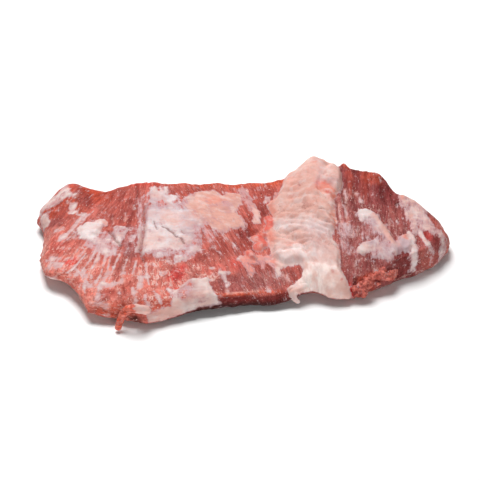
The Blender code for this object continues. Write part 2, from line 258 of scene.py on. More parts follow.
RIGHT_LUMP = patch((74, 15), (77, 17.5), (82, 17.5), (86, 15), (87.5, 8), (89, 2), (93, -3), (96.5, -9),
                   (97, -16), (95, -21), (92, -27), (88, -24), (84, -24), (80, -25.5), (75, -22),
                   (72.5, -18), (75, -13), (79, -11), (82, -9), (84, -6), (83, -1), (79, 5), (75, 8))
SIDE_LUMP = patch((98, -7), (101, -3), (104, -1), (108, -2), (109, -8), (107, -14), (103, -17.5), (100, -19),
                  (96.5, -18), (96, -13))
END_STRAP = patch((102, 33), (103, 41), (108, 42), (116, 35), (119, 28), (119, 20), (121, 13), (122, 5),
                  (119, 1), (114, 3), (109, 0), (106.5, 2), (107, 8), (105.5, 14), (104, 22))
print("the band of fat is %.0f mm deep at its middle" % BAND(np.array([40.0]), np.array([0.0]))[0])

# %% Thick fat: shape, height over the muscle, width of its shoulder, softness of its edge, how dense it is
THICK_FAT = [
    (BAND, 3.0, 5.0, 2.2, 1.7), (WHITE_PAD, 1.2, 4.0, 7.0, 1.15), (PINK_PAD, 1.0, 4.0, 5.0, 1.05),
    (LEFT_PAD, 2.0, 5.0, 3.5, 1.35), (BROKEN_PAD, 1.0, 3.0, 4.0, 0.85), (FRONT_PAD, 1.4, 4.0, 3.0, 1.15),
    (RIGHT_LUMP, 1.6, 3.0, 4.5, 0.95), (SIDE_LUMP, 2.2, 4.0, 3.0, 1.1), (END_STRAP, 1.2, 3.0, 6.0, 0.95),
    (blot(79, 13, 6, 4.5), 2.0, 2.0, 2.0, 1.5), (blot(76, -19, 4.5, 3.5), 1.6, 2.0, 2.0, 1.5),
    (stroke(2.4, (84, 10), (88, 4), (91, -4), (94, -12), (95, -19)), 2.0, 2.5, 2.0, 1.4)]
THICK_FAT += [(stroke(half_width, *line), height, 2.5, 2.6, dense) for half_width, height, dense, *line in (
    (2.6, 0.5, 0.75, (-132, 37), (-123, 38), (-113, 43)),
    (2.4, 0.5, 0.9, (-130, 38), (-123, 42.5), (-115, 48)), (1.3, 0.3, 0.7, (-129, 33), (-123, 32.5)),
    (2.2, 0.7, 1.2, (-128.5, 30), (-126, 24)), (2.4, 0.4, 0.6, (-117, 60), (-115, 50)),
    (1.4, 0.4, 1.0, (-64.5, 9), (-64, -6), (-65, -14)),
    (1.2, 0.4, 0.7, (-64, 34), (-64.5, 22), (-64.5, 12)),
    (0.9, 0.4, 0.8, (-58, -58), (-57, -64), (-55, -69)),
    (1.2, 0.4, 0.8, (-53, -54), (-50, -60), (-47, -67)),
    (1.4, 0.4, 0.7, (-45, -51), (-42, -56), (-40, -63)),
    (1.8, 0.6, 1.2, (-54.5, -71.5), (-48, -69.5), (-40, -66), (-33, -63.5)),
    (1.7, 0.6, 1.1, (19, -20), (25, -26.5), (33, -26.5)),
    (3.0, 0.6, 1.1, (0, -21), (7, -19), (14, -18.5), (20, -22)),
    (2.2, 0.5, 0.9, (1, -22), (3.5, -27), (6.5, -33)), (1.6, 0.5, 0.9, (17, -22), (21, -27), (23, -34)),
    (1.8, 0.8, 1.3, (105.5, 0), (107, -8), (107, -15), (107, -20)),
    (1.5, 0.7, 1.1, (112, 3), (114.5, -4), (116.5, -8), (118.5, -11)),
    (1.0, 0.5, 1.0, (121, 9), (124, 3), (127, -1)), (1.9, 0.6, 1.1, (4, -23), (7, -23.5)),
    (1.8, 0.5, 0.6, (9, -24), (13, -22.5)), (1.8, 0.4, 0.8, (126, -8), (127, 0), (126, 6)),
    (3.2, 0.4, 0.75, (-94, 1), (-88, -6), (-83, -16)), (1.8, 0.4, 0.7, (-84, -2), (-80, -10), (-79, -18)),
    (1.2, 0.3, 0.6, (14, -20), (13, -28)), (3.0, 0.4, 0.7, (0, 57), (4, 45), (7, 35)),
    (2.3, 0.5, 1.2, (9, 32), (10, 26), (9.5, 20)), (1.5, 0.4, 0.7, (16, 43), (18, 47)),
    (1.2, 0.5, 0.9, (19.5, 42), (18.5, 38)), (1.0, 0.4, 0.9, (22.5, 50), (22, 43)),
    (1.3, 0.5, 0.9, (109, -11), (108, -16)), (1.3, 0.3, 0.65, (119, 17), (122, 8), (126, -1)),
    (0.8, 0.3, 0.7, (124, 2), (130, 4)), (1.3, 0.3, 0.8, (14.5, -47.5), (17.5, -47)),
    (1.5, 0.5, 0.9, (-13, -34), (-8, -34.5)), (1.1, 0.4, 0.8, (-11, -35), (-10.5, -40), (-9, -45)),
    (3.2, 0.5, 0.85, (-36, 38), (-29, 24), (-25, 12)))]
RED_LOBES = [
    stroke(2.6, (16.5, 23), (18, 16), (16, 10)), stroke(3.6, (9, 0), (13, -4), (10, -9)),
    stroke(2.6, (5, -15), (7, -19)), stroke(2.2, (14, 4), (12, 2))]
THICK_FAT += [(shape, 2.2, 3.0, 1.6, 1.15) for shape in RED_LOBES]
print(len(THICK_FAT), "patches of thick fat, of which", len(RED_LOBES), "are stained red by blood")

# %% Thin fat in veins, seams and spots: softness, density and shape
VEINS = [(2.6, min(0.95, dense + 0.05), stroke(half_width, *line)) for half_width, dense, *line in (
    (1.8, 0.8, (-101, 26), (-105, 19), (-108, 11), (-112, 5), (-115, 0)),
    (0.8, 0.6, (-101, -8), (-104, -14), (-108, -19)), (0.9, 0.6, (-91, -12), (-94, -20)),
    (0.9, 0.6, (-87, -9), (-89, -18), (-90, -26)), (0.8, 0.6, (-98, -11), (-101, -17)),
    (0.8, 0.5, (-110, -14), (-114, -19)), (1.0, 0.65, (-103, -26), (-101, -33), (-102, -37)),
    (1.0, 0.7, (-97, -31), (-96, -38), (-93, -46), (-90, -51)), (0.7, 0.6, (-93, -34), (-91.5, -41)),
    (1.5, 0.75, (-82, -33), (-83.5, -41), (-86, -48), (-87, -59)),
    (1.9, 0.95, (-84, -45), (-80, -47), (-75, -45), (-73, -43)), (1.0, 0.6, (-75, -48), (-74, -55)),
    (1.7, 0.6, (-90, -61), (-80, -65)), (1.2, 0.75, (-66, -50), (-64.5, -56), (-63.5, -64)),
    (1.8, 0.8, (-62, -40), (-61.5, -50)), (0.9, 0.6, (-72, -34), (-73, -41)),
    (0.9, 0.5, (-12, 4), (-8, -3), (-3, -12)), (0.9, 0.6, (19, -22), (22, -29), (26, -35), (29, -40)),
    (0.7, 0.55, (62, 25), (62, 12), (63, 0)), (0.7, 0.55, (66, 22), (66.5, 12), (67, 3)),
    (0.9, 0.5, (67, 38), (67, 32), (67, 25)), (0.8, 0.6, (74, 36), (75, 31), (77, 26)),
    (0.5, 0.7, (-83, 23), (-82, 20), (-82, 17)), (0.5, 0.7, (-75, 29), (-74.5, 24), (-75, 20)),
    (0.6, 0.5, (-70, 38), (-69.5, 34)), (0.9, 0.5, (-52, -31), (-48, -38)),
    (0.8, 0.5, (-34, -33), (-31, -39)), (0.8, 0.5, (-8, -42), (-9, -50)))]
# Pale seams between the bundles at the front left.
VEINS += [(1.4, 0.9, stroke(0.6, *line)) for line in (
    [(-84, -14), (-86, -34), (-89, -44)], [(-80, -11), (-82, -26), (-82, -38)],
    [(-76, -17), (-79, -32), (-81, -42)], [(-65, -24), (-67, -36)], [(-102, -29), (-97, -39), (-95, -52)],
    [(-59, -26), (-58, -38), (-56, -47)], [(-71, -22), (-73, -36)], [(-91, -10), (-95, -24), (-99, -34)],
    [(-87, -5), (-90, -20), (-92, -30)], [(-97, -14), (-103, -28), (-107, -33)])]
VEINS += [(1.0, dense, blot(*place)) for dense, *place in (
    (0.8, -109, 33, 3.5, 2.2, 60), (0.8, -109, 28.5, 3.5, 1.8), (0.7, -105.5, 26.5, 2, 1, -30),
    (0.5, -112, 36, 2.5, 1.2, -40), (0.6, -108, 41, 2.5, 2, 45), (0.95, -69.5, -3, 1.5, 1.8),
    (0.95, -57.5, -39.5, 2.2, 1.4), (0.6, -48, -36, 3, 2.2, 20), (0.9, -47.5, -52.5, 1.2, 0.8),
    (0.95, -18, -31, 2.2, 1.2), (0.9, 83.5, -32, 2.2, 1.0), (0.6, -116, -25, 6, 4),
    (0.6, -117, -16, 3, 4), (0.5, -116, 13, 4, 3), (0.5, -107, 6, 3, 4))]
print(len(VEINS), "veins, seams and spots")

# %% Films of fat, and the holes in them and in the patches: softness, density and shape
FILMS = [
    (8, 1.1, blot(-93, -3, 9, 8)), (7, 1.1, blot(-84, -13, 6, 10, 30)), (6, 1.0, blot(-84, 4, 6, 7)),
    (6, 0.7, stroke(3.0, (-100, 26), (-105, 17), (-110, 4), (-115, -3))),
    (5, 0.8, stroke(2.0, (-132, 38), (-121, 39), (-112, 47))),
    (6, 0.35, patch((-6, 60), (8, 60), (8, 34), (4, 24), (2, 40))),
    (5, 0.5, stroke(2.5, (4, 54), (7, 44), (10, 34))),
    (6, 1.1, patch((-98, 6), (-86, 10), (-78, 2), (-76, -16), (-84, -22), (-92, -14))),
    (5, 0.7, patch((-77, 12), (-66, 12), (-64, -16), (-72, -20), (-76, -12))),
    (4, 0.85, patch((-68, 46), (-60, 50), (-59, 30), (-59, 5), (-64, 10), (-68, 20))),
    (8, 0.75, patch((-32, 14), (-16, 10), (-12, 0), (-20, -8), (-26, -22), (-36, -28), (-46, -28),
        (-46, -18))),
    (5, 0.5, blot(-17, -19, 8, 5)), (5, 0.7, blot(-66, 4, 3, 7)),
    (4, 0.6, stroke(2.0, (-84, -46), (-72, -44))),
    (5, 0.5, patch((-12, 3), (-3, 2), (2, -16), (-4, -16), (-10, -6))), (4, 0.9, blot(65, -4, 6, 6)),
    (6, 0.5, patch((60, -12), (71, -12), (71, -30), (62, -35))), (5, 0.8, blot(79, -4, 6, 10)),
    (8, 0.4, blot(99, 2, 8, 14)), (5, 0.7, stroke(2.5, (63, 30), (64, 12), (65, -16))),
    (5, 0.85, patch((60, 2), (72, 3), (72, -8), (68, -12), (70, -22), (62, -22))),
    (4, 0.7, blot(127, -1, 4, 7)), (5, 0.75, stroke(2.0, (67, 18), (68, 0), (68, -18))),
    (4, 0.6, stroke(1.5, (72, 6), (71, -8), (70, -24))), (8, 0.45, blot(114, 6, 9, 18)),
    (5, 0.5, blot(-83, -40, 3, 12, -12)), (5, 0.5, blot(-60, -36, 8, 5)), (4, 0.6, blot(-55, 46, 8, 8)),
    (6, 0.4, blot(26, -36, 6, 8))]
HOLES = [
    (3, 0.95, stroke(0.7, (-53, 41), (-50, 36.5))), (5, 0.45, blot(-52, 36, 3, 5)),
    (3, 0.8, blot(-43.5, 40, 2, 2)), (5, 0.6, blot(-38, 38, 3.5, 6)), (3, 0.7, blot(-40, 46, 2, 3, -30)),
    (5, 0.85, blot(-64, 38, 2.5, 9)), (4, 0.85, blot(-63, 24, 2, 7)), (4, 0.85, blot(-22, 9, 2.5, 5)),
    (5, 0.6, blot(-27, 3, 4, 6)), (4, 0.7, blot(-28, -7, 3.5, 3)), (4, 0.7, blot(-17, 3, 3, 4)),
    (3, 0.8, blot(-44, -25, 2, 4.5)), (5, 0.35, blot(-34, -14, 3, 6)), (3, 0.6, blot(-86, 8, 2, 3.5)),
    (4, 0.5, blot(-77, 7, 3.5, 3)), (3, 0.7, blot(-32, -50, 2, 6, -10)), (4, 0.5, blot(-37, -58, 3, 3)),
    (3, 0.6, blot(-88, 13, 1.5, 3)), (4, 0.5, blot(-10, 38, 5, 4)), (3, 0.6, blot(3.5, 47, 2, 2)),
    (3, 0.5, blot(92, -13, 1.5, 5)), (4, 0.5, blot(113, 12, 2, 9)), (3, 0.5, blot(84, -20, 1.5, 4)),
    (7, 0.6, blot(-46, -20, 10, 4)), (6, 0.5, blot(-57, -20, 5, 3)),
    (4, 0.75, blot(-34, -55, 3.5, 5, -20)), (3, 0.6, blot(86, -8, 2.5, 5)), (3, 0.7, blot(80, -2, 2, 5)),
    (4, 0.6, blot(79, -23, 4, 3)), (4, 0.6, blot(-24, 4, 3, 6)), (5, 0.5, blot(-42, -18, 7, 3)),
    (4, 0.25, blot(106, 27, 2.5, 5))]
print(len(FILMS), "films and", len(HOLES), "places where muscle shows through fat")

# %% Where the muscle is marbled, and where it is bare
MARBLING = [
    (12, 0.4, patch((-128, 14), (-108, 6), (-94, 0), (-80, -6), (-68, -22), (-60, -40), (-62, -74),
        (-92, -66), (-126, -30))),
    (8, 0.6, patch((-60, -24), (-30, -28), (-14, -34), (-14, -56), (-60, -72))),
    (8, 0.3, patch((-14, -26), (20, -28), (30, -42), (-14, -54))),
    (10, 0.35, patch((60, 40), (80, 30), (100, 20), (100, -24), (60, -36))),
    (12, 0.15, patch((-132, 40), (-100, 40), (-100, 10), (-132, 10)))]
BARE = [
    (3, 0.9, blot(-78, -24, 4, 7, 10)), (3, 0.9, blot(-90, -17, 3.5, 4)), (3, 0.9, blot(-80, -54, 5, 5)),
    (3, 0.9, blot(-70, -52, 4, 8)), (4, 0.7, blot(-105, -4, 6, 4)), (4, 0.8, blot(-99, 38, 5, 7)),
    (4, 0.7, blot(-111, 27, 6, 5)), (4, 0.95, patch((2, 40), (14, 40), (14, 12), (7, 4), (2, 14))),
    (4, 0.7, blot(5, -30, 7, 4)), (4, 0.6, blot(-39, -35, 5, 6)), (4, 0.8, blot(-11, -46, 12, 5)),
    (4, 0.7, blot(-1, -39, 6, 5)), (4, 0.7, blot(-88, -19, 3, 5)),
    (6, 0.8, patch((96, -12), (124, -12), (128, -2), (124, -22), (96, -32), (86, -32))),
    (4, 0.9, blot(-106, 44, 5, 5)), (4, 0.95, stroke(5.0, (-96, 59), (-61, 62), (-20, 63), (20, 63))),
    (4, 0.7, blot(118, -8, 2, 4))]
print(len(MARBLING), "marbled areas and", len(BARE), "bare ones")

# %% [markdown]
# ## The shape of the top
#
# The cut lies flat at its left and rises to a thick hump at its right, with a valley between
# them. Nearly the same sizes as in the solid's own source give that ground here, and steps
# that are finer than a solid needs are laid on it: bundles of fibres, lobes in the fat, folds
# and cracks. Each hill of the ground is one row of a table, so that it can be moved by itself.

# %% Ground, hump, valley and lips
SLAB_TOP = 14.5                          # height of the flat part of the cut
RIM_HEIGHT = 4.0                         # of the line where its top and underside meet
GROUND_HILLS = [                         # height, centre, half-widths, and turn in degrees
    (8.5, (-110, 50), (12, 14), 30),                                      # the curled corner at the back left
    (3, (-36, 14), (40, 35), 0),                                          # under the pad of fat on the middle
    (2, (47, 66), (12, 14), 0),                                           # the back of the band of fat
    (2, (86, 54), (12, 12), 0),                                           # the shoulder behind the thick end
    (3, (91, 55), (5, 8), 0), (-2.5, (99, 46), (4, 7), 0),                # and its bump and dip
    (-3, (60, 66), (6, 7), 0), (-3, (35, 66), (5, 10), 0),                # both shoulders of the band
    (5, (67.5, 66), (1.8, 3), 0),                                         # a torn tip beside it
    (2.6, (-66, 66), (15, 8), 0), (1.6, (-38, 66), (4, 8), 0),            # four lobes of the back edge
    (1.6, (-17, 66), (4, 8), 0), (1.4, (9, 66), (7, 8), 0),
    (-3, (21, -1), (11, 40), -12),                                        # the valley beside the hump
    (-2, (-106, -41), (30, 22), -40),                                     # the thin corner at the front left
    (-4, (9, -46), (45, 9), 0), (2.2, (-2, -54), (26, 2.5), 6),           # the thin front edge and its lip
    (-5, (78, -43), (16, 10), 26),                                        # the sloping front of the thick end
    (1.5, (127, 8), (8, 12), 0)]                                          # its tip turns up a little
LIFTED = [                               # where the underside hangs over what it lies on, in the same way
    (6.5, (-110, -43), (24, 12), -52), (8, (-119, 58), (12, 12), 0), (2, (-131, 30), (12, 20), 0),
    (1.5, (-29, -58), (15, 8), 0), (4, (41, -46), (14, 7), 0), (1.5, (129, 5), (8, 12), 0)]
FLAT_UNDER = 0.4                         # less than this hardly lifts, and counts as lying flat


def hump(x, y):
    """The thick end: a ridge from front to back that drops sharply on its left and gently on its right."""
    crest = np.interp(y, [-46, 4, 69], [54, 53, 50])
    height = np.interp(y, [-56, -40, -20, 4, 39, 69], [0, 2, 6, 11, 15, 17.5])
    side = x - crest
    return height * np.exp(-0.5 * (side / np.where(side < 0, 16, 44)) ** 2)


def top(x, y):
    """Height of the top of the cut before its fat and its fibres."""
    return SLAB_TOP + hump(x, y) + swells(x, y, GROUND_HILLS)


def lift(x, y):
    """How high the underside hangs over the surface that the cut lies on."""
    return np.maximum(swells(x, y, LIFTED) - FLAT_UNDER, 0)


def rim_height(x, y):
    """Height of the line where the top and the underside meet: higher where the front edge curls up."""
    return lift(x, y) + RIM_HEIGHT + 0.25 * hump(x, y) + 3.5 * swell(x, y, (-10, -57), (20, 8), 8)


print("top of the hump %.1f mm" % top(np.array([50.0]), np.array([60.0]))[0])

# %% Cracks: line, half-width, depth, and how much painted shade lies in each
CRACKS = [
    ([(-50, 10), (-47, 8), (-45, 5.5), (-43, 3), (-41, -1), (-38, -3), (-36, -8)], 0.8, 1.3, 1.2),
    ([(-56, 17), (-55, 12), (-53.5, 7)], 0.6, 0.8, 1.0), ([(-38, 5), (-36, 3)], 0.6, 0.6, 1.0),
    ([(-84, 9), (-81, 3), (-79, -3), (-75.5, -8)], 0.9, 1.6, 1.1),
    ([(-63, 36), (-63, 22), (-62, 10), (-62.5, -4), (-63.5, -12), (-61.5, -20), (-60, -24)], 1.1, 1.6,
        0.85),
    ([(-133, 33), (-128, 33), (-122, 34), (-117, 37)], 0.8, 1.4, 0.7),
    ([(90, 50), (92, 44), (93, 36), (94, 30)], 2.0, 2.4, 0.5),
    ([(98, 40), (99, 30), (101, 12)], 1.5, 1.3, 0.0),
    ([(75, 60), (74, 46), (73, 30), (72, 18)], 1.3, 1.4, 0.4),
    ([(83, 56), (83, 44), (83, 28)], 1.4, 1.2, 0.3),
    ([(66, 58), (66, 44), (66, 30), (67, 12)], 1.1, 1.2, 0.4),
    ([(20, 13), (25, 5), (29, 1), (32, -3), (33, -9), (37, -13), (39, -18), (40, -22)], 1.2, 1.3, 0.45),
    ([(21, -27), (26, -29), (30, -27.5), (33, -26.5), (38, -29), (45, -31)], 1.2, 0.9, 0.25),
    ([(29, 1), (36, 2), (43, -2), (52, -7)], 1.0, 1.0, 0.3),
    ([(28, 17), (35, 15), (44, 9), (54, 1)], 1.0, 0.9, 0.25),
    ([(27, 9), (36, 9), (46, 2), (56, -6)], 0.8, 0.8, 0.2),
    ([(30, 24), (40, 20), (50, 13), (59, 8)], 0.9, 0.7, 0.1),
    ([(57, 62), (54, 52), (50, 41), (50, 35), (54, 30), (59, 28)], 1.3, 1.3, 0.0),
    ([(37, 45), (38, 43)], 0.8, 0.8, 0.8)]
print(len(CRACKS), "cracks and folds")

# %% Lobes that stand up from the band: shape and height
LOW_LOBE = patch((20, -10), (23, -6), (30, -7), (36, -12), (40, -21), (37, -26), (29, -27), (22, -22))
BAND_LOBES = [
    (LOW_LOBE, 1.2), (patch((53, 44), (54, 56), (60, 63), (65, 52), (66, 40), (61, 34)), 1.8),
    (patch((35, -44), (38, -40), (44, -35), (50, -32), (58, -36), (64, -41), (65, -48), (56, -50),
        (45, -46)), 0.9),
    (patch((38, 33), (45, 30), (52, 23), (56, 16), (56, 2), (48, 8), (40, 20)), 1.3),
    (patch((24, 60), (34, 66), (44, 60), (47, 50), (40, 42), (28, 44)), 1.0)]
# Fat that is more bumpy than the rest.
BUMPY = {WHITE_PAD: 1.6, LEFT_PAD: 1.6, FRONT_PAD: 1.6, **{shape: 2.2 for shape in RED_LOBES}}
print(len(BAND_LOBES), "lobes on the band and", len(BUMPY), "bumpy patches")


# %% Relief of the fibres, the fat, its folds and its cracks
def ragged(x, y):
    """Noise of several sizes, about -1 to 1, that frays the edges of fat along the grain."""
    across, along = grain(x, y)
    return (0.55 * noise(x / 6, y / 7, seed=41) + 0.40 * noise(x / 2.4, y / 2.8, seed=42)
            + 0.45 * noise(across / 1.5, along / 8, seed=43) + 0.30 * noise(x / 1.3, y / 1.6, seed=44))


def band_folds(x, y):
    """Puffy folds across the band of fat: their height, and 1 in the creases between them, where shade is
    painted.
    """
    slant = y + 0.42 * (x - 38) + 0.010 * (x - 38) ** 2 + 4 * noise(x / 17, y / 15, seed=5)
    wrinkled = 0.15 + 0.85 * smooth_step(y, -30, -14) * (1 - 0.75 * smooth_step(y, 26, 44))
    wide, narrow = np.abs(noise(x / 16, slant / 6.6, seed=6)), np.abs(noise(x / 8, slant / 2.4, seed=7))
    narrow = narrow * (0.3 + 0.7 * smooth_step(y, 18, 4))
    return wrinkled * (4.6 * wide + 0.8 * narrow - 1.2), wrinkled * np.clip(1 - wide / 0.09, 0, 1)


def relief(x, y):
    """Height of the fat and of the bundles of fibres over the top."""
    across, along = grain(x, y)
    z = 0.45 * noise(across / 8, along / 45, seed=3) + 0.5 * noise(x / 22, y / 22, seed=4)
    z += 0.28 * noise(across / 2.4, along / 22, seed=11) + 0.16 * noise(across / 1.2, along / 10, seed=12)
    z += 0.25 * noise(x / 5, y / 6, seed=17)
    fray = ragged(x, y)
    lobes = (0.45 * noise(x / 9, y / 9, seed=14) + 0.42 * noise(x / 4.2, y / 5, seed=15)
             + 0.16 * noise(x / 1.9, y / 2.1, seed=16))
    folds = band_folds(x, y)[0]
    for shape, height in BAND_LOBES:
        raised = smooth_step(shape(x, y) + 0.8 * noise(x / 6, y / 6, seed=46), -1.5, 3.5)
        folds = folds + height / 0.6 * raised
    for shape, height, shoulder, softness, dense in THICK_FAT:
        depth = shape(x, y) + 0.35 * min(softness, 2.5) * fray
        covered = smooth_step(depth, -0.35 * shoulder, 0.65 * shoulder)
        bumps = BUMPY.get(shape, 1.0) * lobes * min(1, 0.5 + height / 3)
        z = z * (1 - 0.75 * covered) + (height + bumps) * covered
        if shape is BAND:
            z += 0.6 * folds * covered
    for line, half_width, depth, _ in CRACKS:
        away = distance(x, y, smooth_line(line)) + 0.4 * fray
        z -= depth * np.exp(-0.5 * (away / half_width) ** 2)
    return z


print("relief at the middle of the band %.2f mm" % relief(np.array([40.0]), np.array([10.0]))[0])

# %% [markdown]
# ## One closed skin
#
# The top is a sheet of cells that rolls down to the rim like a quarter circle, and the
# underside comes up to meet it with half as many cells. Both share the rim, so the skin is
# closed, as the real cut is, and its cells stay below a millimetre where fibres show.

# %% Both sheets, rolled to a shared rim
CELLS_ALONG, CELLS_ACROSS = 440, 160
RIM_ROWS = 12                            # rows of cells that roll over at each edge
RIM_ALONG, RIM_ACROSS = 0.05, 0.10       # that roll's share of the length and of the width
FLESH_UNDER_LIP = [(1, (-8, -56), (24, 10), 0), (1, (28, -49), (8, 8), 0)]     # it hangs forward there


def stations(cells, rim):
    """Grid lines from 0 to 1: those of the roll at each end follow a quarter circle, the others are even."""
    roll = rim * (1 - np.cos(np.linspace(0, math.pi / 2, RIM_ROWS + 1)))
    middle = np.linspace(rim, 1 - rim, cells - 2 * RIM_ROWS + 1)
    return np.concatenate([roll[:-1], middle, 1 - roll[-2::-1]])


def roll_off(share, rim):
    """0 on an edge and 1 inside its roll, along a quarter circle."""
    inside = np.clip(np.minimum(share, 1 - share) / rim, 0, 1)
    return np.sqrt(1 - (1 - inside) ** 2)


def sheets():
    """Grids of points of the top and of the underside. They share their rims."""
    u, v = np.meshgrid(stations(CELLS_ALONG, RIM_ALONG), stations(CELLS_ACROSS, RIM_ACROSS), indexing="ij")
    x, y = np.moveaxis(plan(u, v), -1, 0)
    x, y = (x + 0.9 * noise(x / 11, y / 11, seed=1) + 0.5 * noise(x / 3.7, y / 3.7, seed=21),
            y + 0.9 * noise(x / 11, y / 11, seed=2) + 0.5 * noise(x / 3.7, y / 3.7, seed=22))
    rolled = roll_off(u, RIM_ALONG) * roll_off(v, RIM_ACROSS)
    under, rim = lift(x, y), rim_height(x, y)
    across, along = grain(x, y)
    torn = 0.5 * noise(x / 4, y / 4, seed=23) + 0.25 * noise(x / 1.8, y / 1.8, seed=24)
    torn = torn * rolled * (1 - rolled) * 4
    hang = 14 * swells(x, y, FLESH_UNDER_LIP) * rolled * (1 - rolled)
    steep_x = np.where(u < 0.5, -1, 1) * (1 - roll_off(u, RIM_ALONG))
    steep_y = np.where(v < 0.5, -1, 1) * (1 - roll_off(v, RIM_ACROSS))

    def crumpled(x, y, z):
        """A sheet whose steep sides bulge in and out, as torn flesh does."""
        bulge = 1.1 * noise((x + y) / 7, z / 4.5, seed=25) + 0.6 * noise((x + y) / 3, z / 2.2, seed=26)
        return np.stack([x + steep_x * bulge, y + steep_y * bulge, z], axis=-1)

    upper = crumpled(x, y, rim + (top(x, y) + relief(x, y) - rim) * rolled + torn)
    lower = crumpled(x, y - hang, under + (rim - under) * (1 - rolled))
    return upper, lower[::2, ::2]


upper, lower = sheets()
print("top sheet", upper.shape[:2], "highest point %.1f mm" % upper[..., 2].max())


# %% The sheets joined into one mesh
def skin_mesh(name, upper, lower):
    """Joins both sheets into one closed mesh, with five or six corners to an outer cell underneath."""
    columns, rows = upper.shape[0] - 1, upper.shape[1] - 1
    points = upper.reshape(-1, 3).tolist()
    faces = []

    def above(i, j):
        return i * (rows + 1) + j

    for i in range(columns):
        for j in range(rows):
            faces.append([above(i, j), above(i + 1, j), above(i + 1, j + 1), above(i, j + 1)])

    number = {}
    for i in range(columns // 2 + 1):
        for j in range(rows // 2 + 1):
            if i in (0, columns // 2) or j in (0, rows // 2):
                number[i, j] = above(2 * i, 2 * j)
            else:
                number[i, j] = len(points)
                points.append(lower[i, j].tolist())

    def on_rim(a, b):
        """True if the side between two corners of a cell lies on the rim."""
        return (a[0] == b[0] and a[0] in (0, columns // 2)) or (a[1] == b[1] and a[1] in (0, rows // 2))

    for i in range(columns // 2):
        for j in range(rows // 2):
            ring = []
            corners = [(i, j), (i, j + 1), (i + 1, j + 1), (i + 1, j)]
            for here, after in zip(corners, corners[1:] + corners[:1]):
                ring.append(number[here])
                if on_rim(here, after):
                    ring.append(above(here[0] + after[0], here[1] + after[1]))
            faces.append(ring)
    mesh = bpy.data.meshes.new(name)
    mesh.from_pydata([Vector(p) * MM for p in points], [], faces)
    return mesh


skin = bpy.data.objects.new("secreto_skin", skin_mesh("secreto_skin", upper, lower))
bpy.context.scene.collection.objects.link(skin)
skin.data.shade_smooth()
top_points = upper.shape[0] * upper.shape[1]
print("skin:", len(skin.data.vertices), "points,", len(skin.data.polygons), "faces")

# %% [markdown]
# ## Colours of muscle and fat
#
# Pork muscle is a dull pink red that turns orange where its rim has dried in the air and
# purple where a film covers it. Fat is cream, or bluish where it is thin, or pink where blood
# has stained it. The colours are painted over each other in soft areas, as glazes are, and
# kept with the points of the skin, so that the finish can vary them further.

# %% Palette
def linear(code):
    """An sRGB hex colour as linear red, green and blue."""
    channels = np.array([int(code[i:i + 2], 16) / 255 for i in (1, 3, 5)])
    return np.where(channels <= 0.04045, channels / 12.92, ((channels + 0.055) / 1.055) ** 2.4)


PINK_RED, DEEP_RED, DARK_RED, PURPLE_RED = "#BE6459", "#A44B42", "#762B2B", "#9C5552"
SALMON, ORANGE_RIM, BRIGHT_RED, BROWN_RED = "#D27769", "#C2553E", "#C83D38", "#5C2523"
# SHADE_MAROON is painted shade: under the meat tag, on the low front of the thick end and under the front
# edge.
ORANGE_RED, SHADE_MAROON, DEEP_PURPLE = "#BC4D38", "#401C1C", "#8E4746"
CREAM, PINK_CREAM, BLUISH, PINK_FAT, ORANGE_FAT = "#DBC7C1", "#DDB3A8", "#BBA2A6", "#D09B8D", "#DB8672"
WHITE_FAT, PURPLE_FAT, RED_FAT, VEIN_PINK = "#E0D3D1", "#A97672", "#D8604F", "#DFA79A"

print("cream in linear light", linear(CREAM).round(2))

